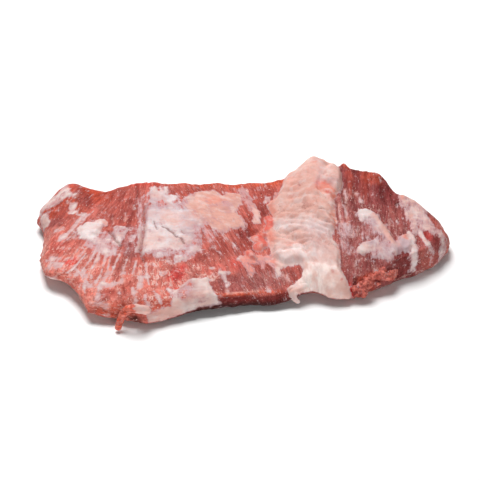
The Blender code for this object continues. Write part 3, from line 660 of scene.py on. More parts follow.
# %% Glazes on the muscle of the left: colour, strength, softness of the edge, and shape
MUSCLE_GLAZES = [
    (ORANGE_RED, 0.8, 8, patch((-134, 26), (-122, 24), (-104, 26), (-96, 36), (-94, 64), (-116, 70),
        (-136, 46))),
    (SALMON, 0.8, 12, patch((-128, 18), (-112, 10), (-104, -10), (-100, -30), (-104, -46), (-126, -28))),
    (SALMON, 0.85, 10, patch((-108, -26), (-88, -26), (-60, -40), (-50, -70), (-92, -68))),
    (SALMON, 0.8, 6, blot(-123, -8, 5, 18)), (VEIN_PINK, 0.35, 5, blot(-124, -3, 3, 10)),
    (PINK_RED, 0.7, 8, blot(-107, -5, 10, 7)), (BRIGHT_RED, 0.35, 8, blot(-117, -6, 6, 12)),
    (BRIGHT_RED, 0.9, 4, blot(-105, -22.5, 4.5, 3.5)), (BRIGHT_RED, 0.4, 4, blot(-112, -22, 6, 2)),
    (ORANGE_RED, 0.7, 8, blot(-94, 50, 10, 12)), (DEEP_RED, 0.7, 6, blot(-101, 37, 5, 8)),
    (DARK_RED, 0.5, 5, blot(-101, 38, 3, 5)),
    (DEEP_RED, 0.8, 4, stroke(2.5, (-108, 62), (-107, 45), (-104, 38))),
    (PURPLE_RED, 0.9, 5, blot(-120, 21, 5, 4)), (DEEP_RED, 0.6, 6, blot(-113, 29, 7, 6)),
    (ORANGE_RIM, 0.5, 5, blot(-104, 28, 5, 4)),
    (DEEP_RED, 0.3, 8, patch((-88, 56), (-68, 58), (-66, 30), (-68, 12), (-84, 14), (-87, 30))),
    (DARK_RED, 0.6, 3, stroke(2.0, (-72, 44), (-71, 33), (-72, 20))),
    (DARK_RED, 0.5, 3, stroke(1.5, (-69, 62), (-68, 48))),
    (DARK_RED, 0.6, 3, stroke(1.3, (-83.5, 26), (-83, 15))),
    (DARK_RED, 0.4, 3, stroke(1.2, (-78, 48), (-77, 30), (-78, 18))),
    (PURPLE_RED, 0.8, 6, patch((-77, 12), (-64, 12), (-63, -18), (-72, -20), (-76, -8))),
    (DEEP_RED, 0.6, 4, blot(-69, 2, 3, 8, -10)), (DEEP_RED, 0.6, 5, blot(-76, -26, 5, 8, 10)),
    (DEEP_RED, 0.4, 4, blot(-78, -37, 4, 5)), (DEEP_RED, 0.3, 4, blot(-67, -26, 3, 7)),
    (DEEP_RED, 0.7, 3, blot(-80, -55, 5, 5)), (DEEP_RED, 0.5, 4, blot(-70, -52, 5.5, 9)),
    (DEEP_RED, 0.4, 4, blot(-57, -54, 4, 8)), (DEEP_RED, 0.5, 4, blot(-88, -19, 3, 6)),
    (DEEP_RED, 0.5, 6, blot(-1, -40, 8, 5)), (DEEP_RED, 0.7, 6, blot(-11, -48, 12, 4)),
    (DARK_RED, 0.6, 2, blot(-83, -61, 2, 1.5)),
    (ORANGE_RIM, 0.5, 5, patch((-84, -62), (-56, -62), (-54, -70), (-84, -67)))]
print(len(MUSCLE_GLAZES), "glazes on the muscle of the left")

# %% Glazes on the muscle of the middle, the valley and both long edges
MUSCLE_GLAZES += [
    (SALMON, 0.6, 10, patch((-58, -26), (-30, -26), (0, -20), (0, -34), (-20, -40), (-40, -60),
        (-58, -66))),
    (DARK_RED, 0.7, 2, stroke(0.9, (-62, -20), (-60, -26), (-58, -31))),
    (DARK_RED, 0.4, 3, stroke(1.0, (-57, -40), (-56, -46))),
    (DEEP_RED, 0.8, 6, stroke(3.0, (-20, -14), (-26, -22), (-30, -28))),
    (DEEP_RED, 0.7, 6, patch((-18, 0), (-2, -4), (0, -16), (-16, -18))),
    (BRIGHT_RED, 0.95, 5, blot(-40, -37, 5, 7, -20)), (BRIGHT_RED, 0.8, 3, blot(-35.5, -31, 2.5, 3)),
    (BRIGHT_RED, 0.6, 5, blot(-41, -50, 4, 4)), (BRIGHT_RED, 0.5, 6, blot(-3, -26, 6, 6)),
    (BRIGHT_RED, 0.3, 6, blot(-16, -31, 9, 4)), (PURPLE_RED, 0.8, 8, blot(-5, -43, 14, 7)),
    (DEEP_RED, 0.9, 8, patch((-4, 10), (10, 12), (9, -14), (2, -16))),
    (DARK_RED, 0.6, 6, blot(2, 6, 4, 8)),
    (DARK_RED, 0.7, 5, patch((4, 22), (12, 26), (13, 8), (7, 2), (5, 8))),
    (ORANGE_RED, 0.6, 3, stroke(1.5, (3, 24), (6, 12), (8, 4))),
    (DEEP_RED, 0.8, 8, patch((6, 60), (22, 56), (18, 30), (10, 10), (2, 24), (6, 40))),
    (DARK_RED, 0.45, 4, blot(14, 32, 3, 8, 15)),
    (SALMON, 1.0, 3, stroke(3.4, (18, 24), (15, 13), (12, 2), (11.5, -8), (13, -15))),
    (BRIGHT_RED, 0.75, 3, blot(12, 1, 2.5, 4)), (PINK_RED, 0.8, 3, blot(9.5, 14, 2.5, 4)),
    (BRIGHT_RED, 0.7, 3, blot(15.5, 21, 2, 4)), (BRIGHT_RED, 0.6, 3, blot(5, -16, 4, 2, 30)),
    (PURPLE_RED, 0.85, 8, blot(16, -36, 18, 9)), (DEEP_RED, 0.8, 4, blot(32, -35, 5, 6)),
    (DEEP_RED, 0.7, 3, blot(11, -26, 2, 5)), (DEEP_RED, 0.7, 3, blot(16, -29, 2, 6)),
    (ORANGE_RIM, 1.0, 8, patch((-104, 62), (-60, 62), (-20, 61), (20, 60), (32, 58), (30, 90),
        (-110, 90))),
    (DEEP_RED, 0.6, 4, patch((-47, 58), (-26, 60), (-26, 50), (-38, 50), (-47, 52))),
    (BRIGHT_RED, 0.4, 8, blot(-62, 64, 12, 6)),
    (ORANGE_RIM, 1.0, 1.5, stroke(1.3, (-18, -55.5), (-8, -53), (0, -51), (10, -48.5), (24, -47.5))),
    (VEIN_PINK, 0.7, 1.5, stroke(0.7, (-8, -51.5), (0, -49.5), (10, -47))),
    # Painted shade in the hollow under the meat tag's arch.
    (SHADE_MAROON, 0.9, 2, blot(-64, -71.3, 4.5, 1.5, -3)),
    (ORANGE_RED, 0.9, 3, stroke(1.6, (-76, -68), (-86, -66))),
    (ORANGE_RED, 0.6, 3, patch((-62, -62), (-46, -60), (-44, -66), (-60, -70)))]
print(len(MUSCLE_GLAZES), "with those of the middle")

# %% Glazes on the muscle of the thick end
MUSCLE_GLAZES += [
    (PURPLE_RED, 1.0, 10, patch((60, 66), (100, 66), (140, 10), (120, -24), (66, -54), (58, -10))),
    (DEEP_PURPLE, 0.85, 8, patch((62, 66), (80, 66), (100, 50), (104, 34), (100, 10), (88, 14), (70, 22),
        (62, 34))),
    (ORANGE_RED, 0.45, 4, stroke(2.5, (70, 60), (71, 48), (71, 34))),
    (ORANGE_RED, 0.4, 5, stroke(3.0, (80, 60), (80, 44), (80, 30))),
    # Painted shade: the dark red strokes near x 66 and x 75 and the dark oval at (92, 42) lie in the furrows
    # and the deep crevice of the thick end.
    (DARK_RED, 0.55, 4, stroke(1.6, (76, 62), (75, 46), (74, 30))),
    (DARK_RED, 0.5, 4, stroke(1.4, (66, 56), (67, 44), (66, 34))),
    (BROWN_RED, 0.3, 4, stroke(1.5, (72, 46), (72, 20), (73, 0))),
    (DEEP_PURPLE, 0.5, 10, blot(92, 30, 12, 20)), (DARK_RED, 0.9, 6, blot(92, 42, 5, 9)),
    (DARK_RED, 0.5, 6, blot(97, 33, 5, 6)), (ORANGE_RIM, 0.55, 6, blot(85, 53, 7, 7)),
    (SALMON, 0.5, 5, blot(98, 19, 3.5, 7)), (PURPLE_RED, 0.8, 6, blot(99, 18, 4, 12)),
    (DARK_RED, 0.6, 4, stroke(1.4, (66, 30), (67, 14))), (DARK_RED, 0.6, 5, blot(80, -28, 8, 3)),
    (ORANGE_RIM, 1.0, 3, blot(69, 65, 4.5, 4)), (BROWN_RED, 1.0, 1.5, blot(100.5, 31.5, 1.4, 2)),
    (BRIGHT_RED, 0.6, 5, blot(116, -1, 4, 6)), (ORANGE_RIM, 0.35, 8, blot(128, 14, 8, 12)),
    (DARK_RED, 0.6, 5, blot(123, -2, 3, 6)),
    # Dark red on the low front of the thick end is partly dark meat and partly painted shade. The maroon
    # patch after it is painted shade.
    (DARK_RED, 0.7, 5, patch((70, -40), (90, -33), (104, -24), (120, -12), (116, -24), (84, -46),
        (68, -50))),
    (SHADE_MAROON, 0.85, 4, patch((76, -46), (88, -37), (98, -30), (106, -24), (104, -34), (84, -50))),
    (DARK_RED, 0.7, 4, blot(100, -22, 7, 6, 30)), (SALMON, 0.5, 6, blot(130, 4, 5, 12)),
    (SALMON, 0.4, 5, blot(117, -14, 6, 4, 20)), (BRIGHT_RED, 0.95, 2, blot(66, -44.5, 2, 3.5)),
    (BROWN_RED, 0.9, 2, blot(69.5, -41, 2, 3)), (ORANGE_RIM, 0.8, 3, blot(77, -37, 6, 2.5, 25))]
print(len(MUSCLE_GLAZES), "glazes on the muscle in all")

# %% Glazes on the band of fat
FAT_GLAZES = [
    (PINK_CREAM, 1.0, 4, BAND),
    ("#CFA69A", 0.8, 10, patch((20, 46), (44, 46), (56, 24), (54, -22), (36, -12), (20, 16))),
    (BLUISH, 0.5, 5, blot(58, 41, 5, 5)), ("#CF5D48", 1.0, 4, stroke(3.4, (50, 40), (55, 34), (59, 27))),
    (ORANGE_FAT, 0.9, 4, stroke(1.8, (57, 34), (60.5, 24), (58.5, 12), (58, 0), (60, -9), (61, -20),
        (63, -30))),
    (ORANGE_FAT, 0.8, 4, stroke(1.8, (22, 54), (18, 39), (20, 27), (17, 14), (19, -2))),
    (PINK_FAT, 0.8, 4, stroke(1.8, (64.5, 62), (66.5, 52), (66, 42), (62.5, 33))),
    (ORANGE_FAT, 0.4, 6, blot(50, 36, 7, 5)), (ORANGE_FAT, 0.3, 5, blot(34, 40, 4, 7)),
    (PINK_FAT, 0.7, 5, blot(44, 21, 7, 5)), (PINK_FAT, 0.5, 5, blot(28, 20, 5, 8)),
    (PURPLE_FAT, 0.9, 1, blot(37, 44.5, 0.9, 1.4)),
    (ORANGE_FAT, 0.4, 4, stroke(3.0, (17, 12), (16, 4), (18, -6))), (WHITE_FAT, 0.3, 3, LOW_LOBE),
    (ORANGE_FAT, 0.6, 6, blot(30, -13, 5, 4)), (WHITE_FAT, 0.3, 8, blot(25, -18, 4, 6)),
    (WHITE_FAT, 0.75, 8, stroke(5.0, (26, 12), (38, 6), (52, -5))),
    (BLUISH, 0.3, 10, blot(48, -10, 10, 14)),
    # Painted light: the white stroke under the low lobe, the near-white oval on that lobe, and the near-white
    # ovals on the band's front slope brighten slopes that face away from the high light.
    (WHITE_FAT, 0.7, 4, stroke(2.5, (24, -24), (32, -27), (42, -25))),
    (WHITE_FAT, 0.5, 8, blot(48, -28, 9, 7)), ("#F4E6E2", 0.8, 5, blot(32, -20, 9, 5)),
    (PINK_CREAM, 0.6, 5, blot(27, -9, 5, 3)), ("#F8EAE3", 0.9, 10, blot(43, -40, 14, 8)),
    ("#EFD9D0", 0.6, 10, blot(56, -46, 10, 8)), ("#E6C4B8", 0.6, 6, blot(41, 66, 9, 8)),
    (ORANGE_FAT, 0.35, 6, blot(31, 60, 5, 8)), (PINK_FAT, 0.5, 8, blot(40, 46, 8, 6)),
    (BLUISH, 0.4, 5, stroke(2.0, (50, 66), (52, 52), (48, 40))),
    (ORANGE_FAT, 0.7, 2, blot(48, 62, 2, 1.4)), (BRIGHT_RED, 0.8, 0.8, blot(55.5, -39, 1.1, 0.8)),
    (BRIGHT_RED, 0.7, 0.8, blot(61, -43, 0.9, 0.9))]
print(len(FAT_GLAZES), "glazes on the band")

# %% Glazes on the pads of fat
FAT_GLAZES += [
    ("#D8D0D2", 0.8, 10, WHITE_PAD),
    (BLUISH, 0.9, 8, blot(-56, 34, 8, 17)), (BLUISH, 0.7, 6, blot(-45, 33, 9, 6)),
    ("#D2D6DE", 0.7, 8, blot(-52, 22, 9, 7)), ("#DAD8DE", 0.5, 6, blot(-38, 26, 7, 8)),
    (PURPLE_FAT, 0.4, 6, blot(-37, 38, 5, 8)), (PINK_CREAM, 0.6, 6, blot(-44, 19, 8, 8)),
    (PINK_CREAM, 0.5, 8, blot(-55, -5, 7, 12)), (BLUISH, 0.6, 8, blot(-34, 16, 6, 14)),
    (BLUISH, 0.6, 8, blot(-34, -12, 6, 10)), (PINK_CREAM, 0.4, 6, blot(-42, -12, 6, 6)),
    (PINK_FAT, 1.0, 6, PINK_PAD), (ORANGE_FAT, 0.7, 8, blot(-18, 42, 8, 6)),
    (PINK_CREAM, 0.5, 6, blot(-27, 40, 4, 8)), (PURPLE_FAT, 0.4, 6, blot(-9, 36, 6, 7)),
    (BLUISH, 0.7, 8, blot(-28, 4, 8, 16)), (PURPLE_FAT, 0.6, 8, blot(-24, 4, 6, 12)),
    (PURPLE_FAT, 0.5, 4, blot(-27, -53, 4, 6)), (PURPLE_FAT, 0.6, 3, stroke(2.0, (-64, 9), (-64, -14))),
    (WHITE_FAT, 1.0, 4, LEFT_PAD), (ORANGE_FAT, 0.7, 3, blot(-86.5, 16, 2, 4)),
    (PINK_CREAM, 0.5, 3, blot(-91, 18, 3, 2)), (WHITE_FAT, 0.5, 3, BROKEN_PAD),
    (PURPLE_FAT, 0.5, 3, blot(-77, 7, 4, 5)), (PURPLE_FAT, 0.8, 4, blot(-33, -52, 5, 9, -10)),
    (PINK_CREAM, 0.5, 4, blot(-22, -57, 5, 3)),
    (PINK_CREAM, 1.0, 3, stroke(3.0, (-62, -73), (-46, -69), (-38, -65)))]
print(len(FAT_GLAZES), "with those of the pads")

# %% Glazes on the fat of the thick end and the valley
FAT_GLAZES += [
    (BLUISH, 0.9, 4, RIGHT_LUMP),
    (WHITE_FAT, 1.0, 4, blot(78, 13, 6, 5)), (ORANGE_FAT, 0.5, 3, blot(84.5, 11, 3, 3)),
    (CREAM, 0.8, 4, blot(76, -19, 5, 4)),
    (PINK_CREAM, 0.9, 2.5, stroke(2.4, (86, 8), (88, 4), (91, -4), (94, -12))),
    (ORANGE_FAT, 0.25, 4, blot(93, -9, 3, 6)), (BLUISH, 1.0, 4, blot(100, -14, 6, 10)),
    (ORANGE_FAT, 0.8, 3, blot(104, -5, 3.5, 3.5)), (PINK_FAT, 0.6, 4, END_STRAP),
    (BLUISH, 0.4, 6, blot(113, 20, 6, 14)), (ORANGE_FAT, 0.6, 4, blot(102.5, 38, 3, 4)),
    (CREAM, 0.8, 4, stroke(1.5, (113, 30), (111, 14), (112, 2))),
    (WHITE_FAT, 0.9, 3, stroke(2.0, (106, -1), (107, -10), (107, -20))),
    (CREAM, 0.8, 3, stroke(2.4, (113, 1), (115, -6), (120, -13))),
    ("#E7978C", 0.9, 3, stroke(2.6, (3, -23), (9, -24), (14, -22))),
    ("#DE8F81", 1.0, 3, patch((-2, -15), (18, -14), (20, -30), (4, -36))),
    (BLUISH, 0.5, 3, blot(15, -19, 4, 1.5)),
    (PINK_FAT, 1.0, 3, patch((-2, 60), (12, 58), (14, 18), (4, 18))),
    (PURPLE_FAT, 0.4, 3, blot(5, 42, 3, 8)), (PURPLE_FAT, 0.5, 2, blot(17, 45, 2, 3)),
    (ORANGE_FAT, 0.9, 2, blot(22.5, 47, 1.8, 5)),
    (PINK_CREAM, 1.0, 3, stroke(2.6, (9, 32), (10, 26), (9.5, 20)))]
FAT_GLAZES += [(RED_FAT, 1.0, 2.5, shape) for shape in RED_LOBES]
print(len(FAT_GLAZES), "glazes on the fat in all")

# %% Laying one colour over another
def covering(x, y, shape, softness, fray):
    """How much a shape covers of each point, with an edge that is frayed over its softness."""
    return smooth_step(shape(x, y) + 0.5 * softness * fray, -0.5 * softness, 0.5 * softness)


def overlay(colours, code, share):
    """The colours with one more laid over each by its share."""
    return colours + (linear(code) - colours) * share[:, None]


def glaze(x, y, ground, layers, fray):
    """The ground colour with the layers laid over it, for every point."""
    colours = np.tile(linear(ground), (len(x), 1))
    for code, strength, softness, shape in layers:
        colours = overlay(colours, code, strength * covering(x, y, shape, softness, fray))
    return colours


print("half cream over deep red:", overlay(linear(DEEP_RED)[None], CREAM, np.array([0.5])).round(2))

# %% How much fat, film and crack there is at a point
def densest(x, y, layers, fray):
    """The most that any of these layers covers of each point."""
    most = np.zeros(len(x))
    for softness, dense, shape in layers:
        most = np.maximum(most, dense * covering(x, y, shape, softness, fray))
    return most


def fat_cover(x, y, fray):
    """Density of the fat with the holes in its patches, of the film around them, and of the marbling."""
    fat = densest(x, y, [(softness, dense, shape) for shape, _, _, softness, dense in THICK_FAT], fray)
    halo = densest(x, y, [(softness + 4, 0.8 * min(dense, 1), lambda x, y, shape=shape: shape(x, y) + 1.5)
                          for shape, _, _, softness, dense in THICK_FAT], fray)
    for softness, dense, shape in HOLES:
        fat *= 1 - dense * covering(x, y, shape, softness, fray)
    bare = 1 - densest(x, y, BARE, fray)
    return fat, np.maximum(halo, densest(x, y, FILMS, fray)) * bare, densest(x, y, MARBLING, fray) * bare


def crack_painted_shade(x, y):
    """Painted shade in the cracks: each crack's darkness on its middle, fading to 0 beyond its sides."""
    most = np.zeros(len(x))
    for line, half_width, _, darkness in CRACKS:
        most = np.maximum(most, darkness - distance(x, y, smooth_line(line)) / (1.6 * half_width))
    return np.clip(most, 0, 1)


print("in a crack of the fat:", crack_painted_shade(np.array([-43.0]), np.array([3.0])))

# %% [markdown]
# ## The fields of the finish
#
# What the finish needs to know at a point is worked out here and kept with the mesh: its place
# in the grain, how much fat, film and marbling it has, how much painted shade its cracks and
# creases get, and the colours of its muscle and its fat. An image could hold the same, but would
# need a flat map of the skin. The back wall and the underside don't show in the picture. They are
# made of the same muscle, with patches of film on the wall and thin clouds of fat underneath, and
# with shade painted under the lip and behind the front edge.

# %% Muscle of the back wall, painted shade under the lip, and muscle of loose pieces
def back_wall_share(x, y, z):
    """1 on the low part of the back wall, and 0 elsewhere."""
    return 0.85 * smooth_step(y, 65, 69) * smooth_step(14 - z + 3 * noise(x / 9, z / 4, seed=34), -1.5, 1.5)


def under_lip_painted_shade(x, y, z, fray):
    """1 where shade is painted under the curled lip of the front edge, and 0 elsewhere."""
    near = np.minimum(1.4 * swell(x, y, (4, -54), (30, 10)), 1)
    return near * smooth_step(rim_height(x, y) + 2.6 + 0.7 * fray - z, -0.6, 0.9)


def muscle_colour(x, y, z, fray, veins, more):
    """The muscle's glazes, its veins, a darker low back wall, painted shade under the lip, and more patches
    of colour where given.
    """
    wall = back_wall_share(x, y, z)
    colours = glaze(x, y, PINK_RED, MUSCLE_GLAZES, fray)
    for code, share in ((VEIN_PINK, 0.8 * veins), (DEEP_RED, wall),
                        (PURPLE_RED, wall * smooth_step(noise(x / 16, z / 5, seed=35), 0, 0.3)),
                        # Painted shade: dark red under the curled lip.
                        (DARK_RED, 0.9 * under_lip_painted_shade(x, y, z, fray))):
        colours = overlay(colours, code, share)
    for code, strength, size in more:
        spots = smooth_step(noise(x / size, (y + 0.7 * z) / size, seed=7 + size), -0.3, 0.3)
        colours = overlay(colours, code, np.minimum(strength * spots, 1))
    return colours


print("shade on the lip:", under_lip_painted_shade(*np.array([[0.0], [-55.0], [4.0], [0.0]])).round(2))

# %% The underside: thin fat in clouds, and painted shade behind the front edge
FAT_CLOUD = (30, 24)                     # length and width of the clouds of fat there


def finish_underside(field, x, y, fray, hidden):
    """Gives the points that lie underneath a finish of their own."""
    front = swell(x, y, (-8, -56), (34, 14))
    clouds = 0.9 * noise(x / FAT_CLOUD[0], y / FAT_CLOUD[1], seed=31) + 0.5 * noise(x / 9, y / 9, seed=32)
    under = {"fat": smooth_step(clouds + 0.3 * fray - 2 * front, 0.1, 0.8), "marbling": 0.5 * (1 - front),
             "crack": 0, "film": (0.5 + 0.5 * noise(x / 26, y / 26, seed=33)) * (1 - front)}
    for name, values in under.items():
        field[name] = np.where(hidden, values, field[name])
    # Painted shade: maroon on the underside behind the front edge.
    field["muscle"] = overlay(field["muscle"], SHADE_MAROON, hidden * np.minimum(1.3 * front, 1))


print("clouds of fat underneath, each about %d by %d mm" % FAT_CLOUD)


# %% All fields, kept with the points of a mesh
VECTORS, COLOURS = ("grain", "lay"), ("muscle", "fat_tint")


def keep(mesh, name, values):
    """Stores a value, a direction or a colour for each point of the mesh."""
    kind, part = "FLOAT", "value"
    if name in VECTORS:
        kind, part = "FLOAT_VECTOR", "vector"
    if name in COLOURS:
        kind, part = "FLOAT_COLOR", "color"
        values = np.column_stack([values, np.ones(len(values))])
    layer = mesh.attributes.new(name, kind, "POINT")
    layer.data.foreach_set(part, np.ascontiguousarray(values, dtype=np.float32).ravel())


def dress(mesh, top_count=None, muscle_over=(), fat_over=None):
    """Keeps all fields with a mesh, with more muscle colours or other fat where given. Returns its fat."""
    points = np.empty(3 * len(mesh.vertices))
    mesh.vertices.foreach_get("co", points)
    x, y, z = (points.reshape(-1, 3) / MM).T
    hidden = np.arange(len(x)) >= (top_count or len(x))
    across, along = grain(x, y)
    lean = np.radians(np.interp(across, GRAIN_STARTS, GRAIN_LEANS))
    fray = ragged(x, y + np.minimum(z - 11, 0))
    blotched = 0.6 * noise(x / 6, (y + z) / 7, seed=41) + 0.5 * noise(x / 2.6, (y + z) / 3, seed=45)
    veins = densest(x, y, VEINS, fray)
    fat, film, marbling = fat_cover(x, y, fray)
    film = np.maximum(film, back_wall_share(x, y, z) * smooth_step(noise(x / 15, z / 6, seed=36), 0.1, 0.5))
    # Painted shade in the creases between the band's folds.
    fold_crease_shade = 0.5 * band_folds(x, y)[1] * covering(x, y, BAND, 2.0, fray)
    field = {"grain": np.column_stack([across, along, z]),
             "lay": np.column_stack([np.sin(lean), -np.cos(lean), 0 * x]), "specks": 0 * x,
             "fat": np.maximum(fat, 0.7 * veins), "film": film, "marbling": marbling,
             "crack": np.maximum(crack_painted_shade(x, y), fold_crease_shade),
             "muscle": muscle_colour(x, y, z, fray, veins, muscle_over),
             "fat_tint": glaze(x, y, CREAM, FAT_GLAZES, blotched)}
    if fat_over is not None:
        field.update(fat=fat_over(x, y, z), film=0 * x, marbling=0 * x)
    finish_underside(field, x, y, fray, hidden)
    bare = np.clip(1.1 - 1.3 * field["fat"], 0, 1) * (1 - 0.7 * smooth_step(x, 60, 75))
    field["specks"] = (bare * (0.30 + 0.65 * np.clip(field["marbling"], 0, 1))
                       * (1 - 0.8 * under_lip_painted_shade(x, y, z, fray)) * ~hidden)
    field["film"] = np.clip(field["film"], 0, 1)
    for name, values in field.items():
        keep(mesh, name, values)
    return field["fat"]


fat_on_skin = dress(skin.data, top_points)
print("fat covers %.0f%% of the top" % (100 * (fat_on_skin[:top_points] > 0.5).mean()))

# %% [markdown]
# ## The finish of raw pork
#
# Raw pork is wet. Its muscle has fine pale fibres, its fat is waxy, light spreads a little
# under the surface of both, and a thin film of water gives them a soft gloss. One finish does
# for both, because on a real cut they grow into each other: the fields that the points carry
# say where the fat is, and patterns along the grain make its edge ragged. Layers laid over
# each other, each with its own share, are easier to tune than one long formula.

# %% A helper that adds a node, and a colour as a node wants it
def add_node(tree, kind, inputs=(), **settings):
    """Adds a node, sets it up, and gives each named or numbered input a value or a link."""
    made = tree.nodes.new(kind)
    for name, value in settings.items():
        setattr(made, name, value)
    for name, value in dict(inputs).items():
        if isinstance(value, bpy.types.NodeSocket):
            tree.links.new(value, made.inputs[name])
        else:
            made.inputs[name].default_value = value
    return made


def paint(code):
    """An sRGB hex colour as linear red, green, blue and a full alpha."""
    return (*linear(code), 1.0)


def new_material(name):
    """A material with an empty node tree, and that tree."""
    material = bpy.data.materials.new(name)
    material.use_nodes = True
    material.node_tree.nodes.clear()
    return material, material.node_tree


print("pure white is", paint("#FFFFFF"))

# %% Patterns along the grain: width, length and height of their cells in mm, detail, roughness and shift
PATTERNS = {
    "fibre": ((0.75, 5.5, 0.75), 4, 0.55, 0), "thread": ((0.8, 4.5, 0.8), 3, 0.55, 67),
    "bundle": ((2.6, 26, 2.6), 4, 0.55, 7), "split": ((1.7, 15, 1.7), 4, 0.55, 83),
    "streak": ((1.5, 10, 1.5), 4, 0.6, 19), "strand": ((3.2, 24, 3.2), 4, 0.65, 71),
    "grit": ((1.0, 1.3, 1.0), 3, 0.55, 31), "glint": ((0.7, 1.0, 0.7), 1, 0.55, 97),
    "cloud": ((5, 6, 5), 4, 0.6, 43), "blush": ((8, 8, 8), 2, 0.55, 53), "bloom": ((6, 6, 6), 3, 0.55, 59)}


def grain_patterns(tree, grain_place):
    """The noise of each pattern, in the grain's own directions."""
    made = {}
    for name, (cells, detail, roughness, shift) in PATTERNS.items():
        place = add_node(tree, "ShaderNodeMapping", {"Vector": grain_place, "Location": (shift, shift, shift),
                                                     "Scale": [1 / size for size in cells]})
        hills = add_node(tree, "ShaderNodeTexNoise", {"Vector": place.outputs[0], "Scale": 1.0,
                                                      "Detail": detail, "Roughness": roughness})
        made[name] = hills.outputs["Fac"]
    # A seam is where such a noise crosses its middle.
    for name in ("split", "strand"):
        side = add_node(tree, "ShaderNodeMath", {0: made[name], 1: 0.5}, operation="SUBTRACT").outputs[0]
        made[name] = add_node(tree, "ShaderNodeMath", {0: side}, operation="ABSOLUTE").outputs[0]
    return made


def weighed(tree, start, *parts):
    """A start value with each part times its weight added to it."""
    for value, weight in parts:
        added = add_node(tree, "ShaderNodeMath", {0: value, 1: weight, 2: start}, operation="MULTIPLY_ADD")
        start = added.outputs[0]
    return start


def laid_over(tree, ground, *layers):
    """A ground with layers over it. Each has values that multiply to its share, a colour and a way to mix."""
    for shares, colour, blend in layers:
        share = shares[0]
        for other in shares[1:]:
            share = add_node(tree, "ShaderNodeMath", {0: share, 1: other}, operation="MULTIPLY").outputs[0]
        ground = add_node(tree, "ShaderNodeMix", {0: share, 6: ground, 7: colour}, data_type="RGBA",
                          blend_type=blend).outputs[2]
    return ground


print(len(PATTERNS), "patterns")

# %% Where each part of the finish shows
THICKEST_FAT = 0.96                      # how much of the muscle under it the thickest fat hides


def parts_of_finish(tree, noise_of, field):
    """How much each part shows: a smooth step of a value between two limits, from its least to its most."""
    fibre, streak, grit, cloud = (noise_of[which] for which in ("fibre", "streak", "grit", "cloud"))
    fat, film, marbling, crack = (field[which]["Fac"] for which in ("fat", "film", "marbling", "crack"))
    rows = (
        ("bundles", noise_of["bundle"], 0.34, 0.66, 0, 1), ("fibres", fibre, 0.32, 0.68, 0, 1),
        # painted shade in the thin splits between bundles
        ("painted_split_shade", noise_of["split"], 0.0, 0.030, 0.75, 0),
        ("threads", noise_of["thread"], 0.56, 0.70, 0, 1),
        ("marbling", weighed(tree, -0.74, (streak, 1), (marbling, 0.22)), -0.06, 0.10, 0, 0.65),
        ("strands", noise_of["strand"], 0.0, 0.045, 0.85, 0), ("strand clouds", cloud, 0.40, 0.58, 0, 1),
        ("marbled areas", marbling, 0.1, 0.6, 0, 1),
        ("film", weighed(tree, -2.5, (film, 1.3), (streak, 2.0), (grit, 0.8), (cloud, 1.1)),
         0.1, 0.95, 0, 0.80),
        # painted glints: small pale spots that stand in for wet highlights
        ("painted_highlights", noise_of["glint"], 0.70, 0.76, 0, 0.7), ("mottling", cloud, 0.32, 0.68, 0, 1),
        ("blush", noise_of["blush"], 0.44, 0.64, 0, 0.40),
        ("bloom", noise_of["bloom"], 0.50, 0.66, 0, 0.40), ("grit", grit, 0.60, 0.74, 0, 0.25),
        ("fat", weighed(tree, -2.0, (fat, 1), (streak, 1.6), (grit, 0.6), (cloud, 1.8)),
         0.15, 1.0, 0, THICKEST_FAT),
        # painted shade in the cracks and in the creases between the band's folds
        ("cracks", weighed(tree, -0.6, (crack, 1), (grit, 1.2)), 0.15, 0.95, 0, 0.70))
    return {part: add_node(tree, "ShaderNodeMapRange", {0: value, 1: low, 2: high, 3: least, 4: most},
                           interpolation_type="SMOOTHSTEP").outputs[0]
            for part, value, low, high, least, most in rows}


print("the thickest fat hides %.0f%% of the muscle under it" % (100 * THICKEST_FAT))


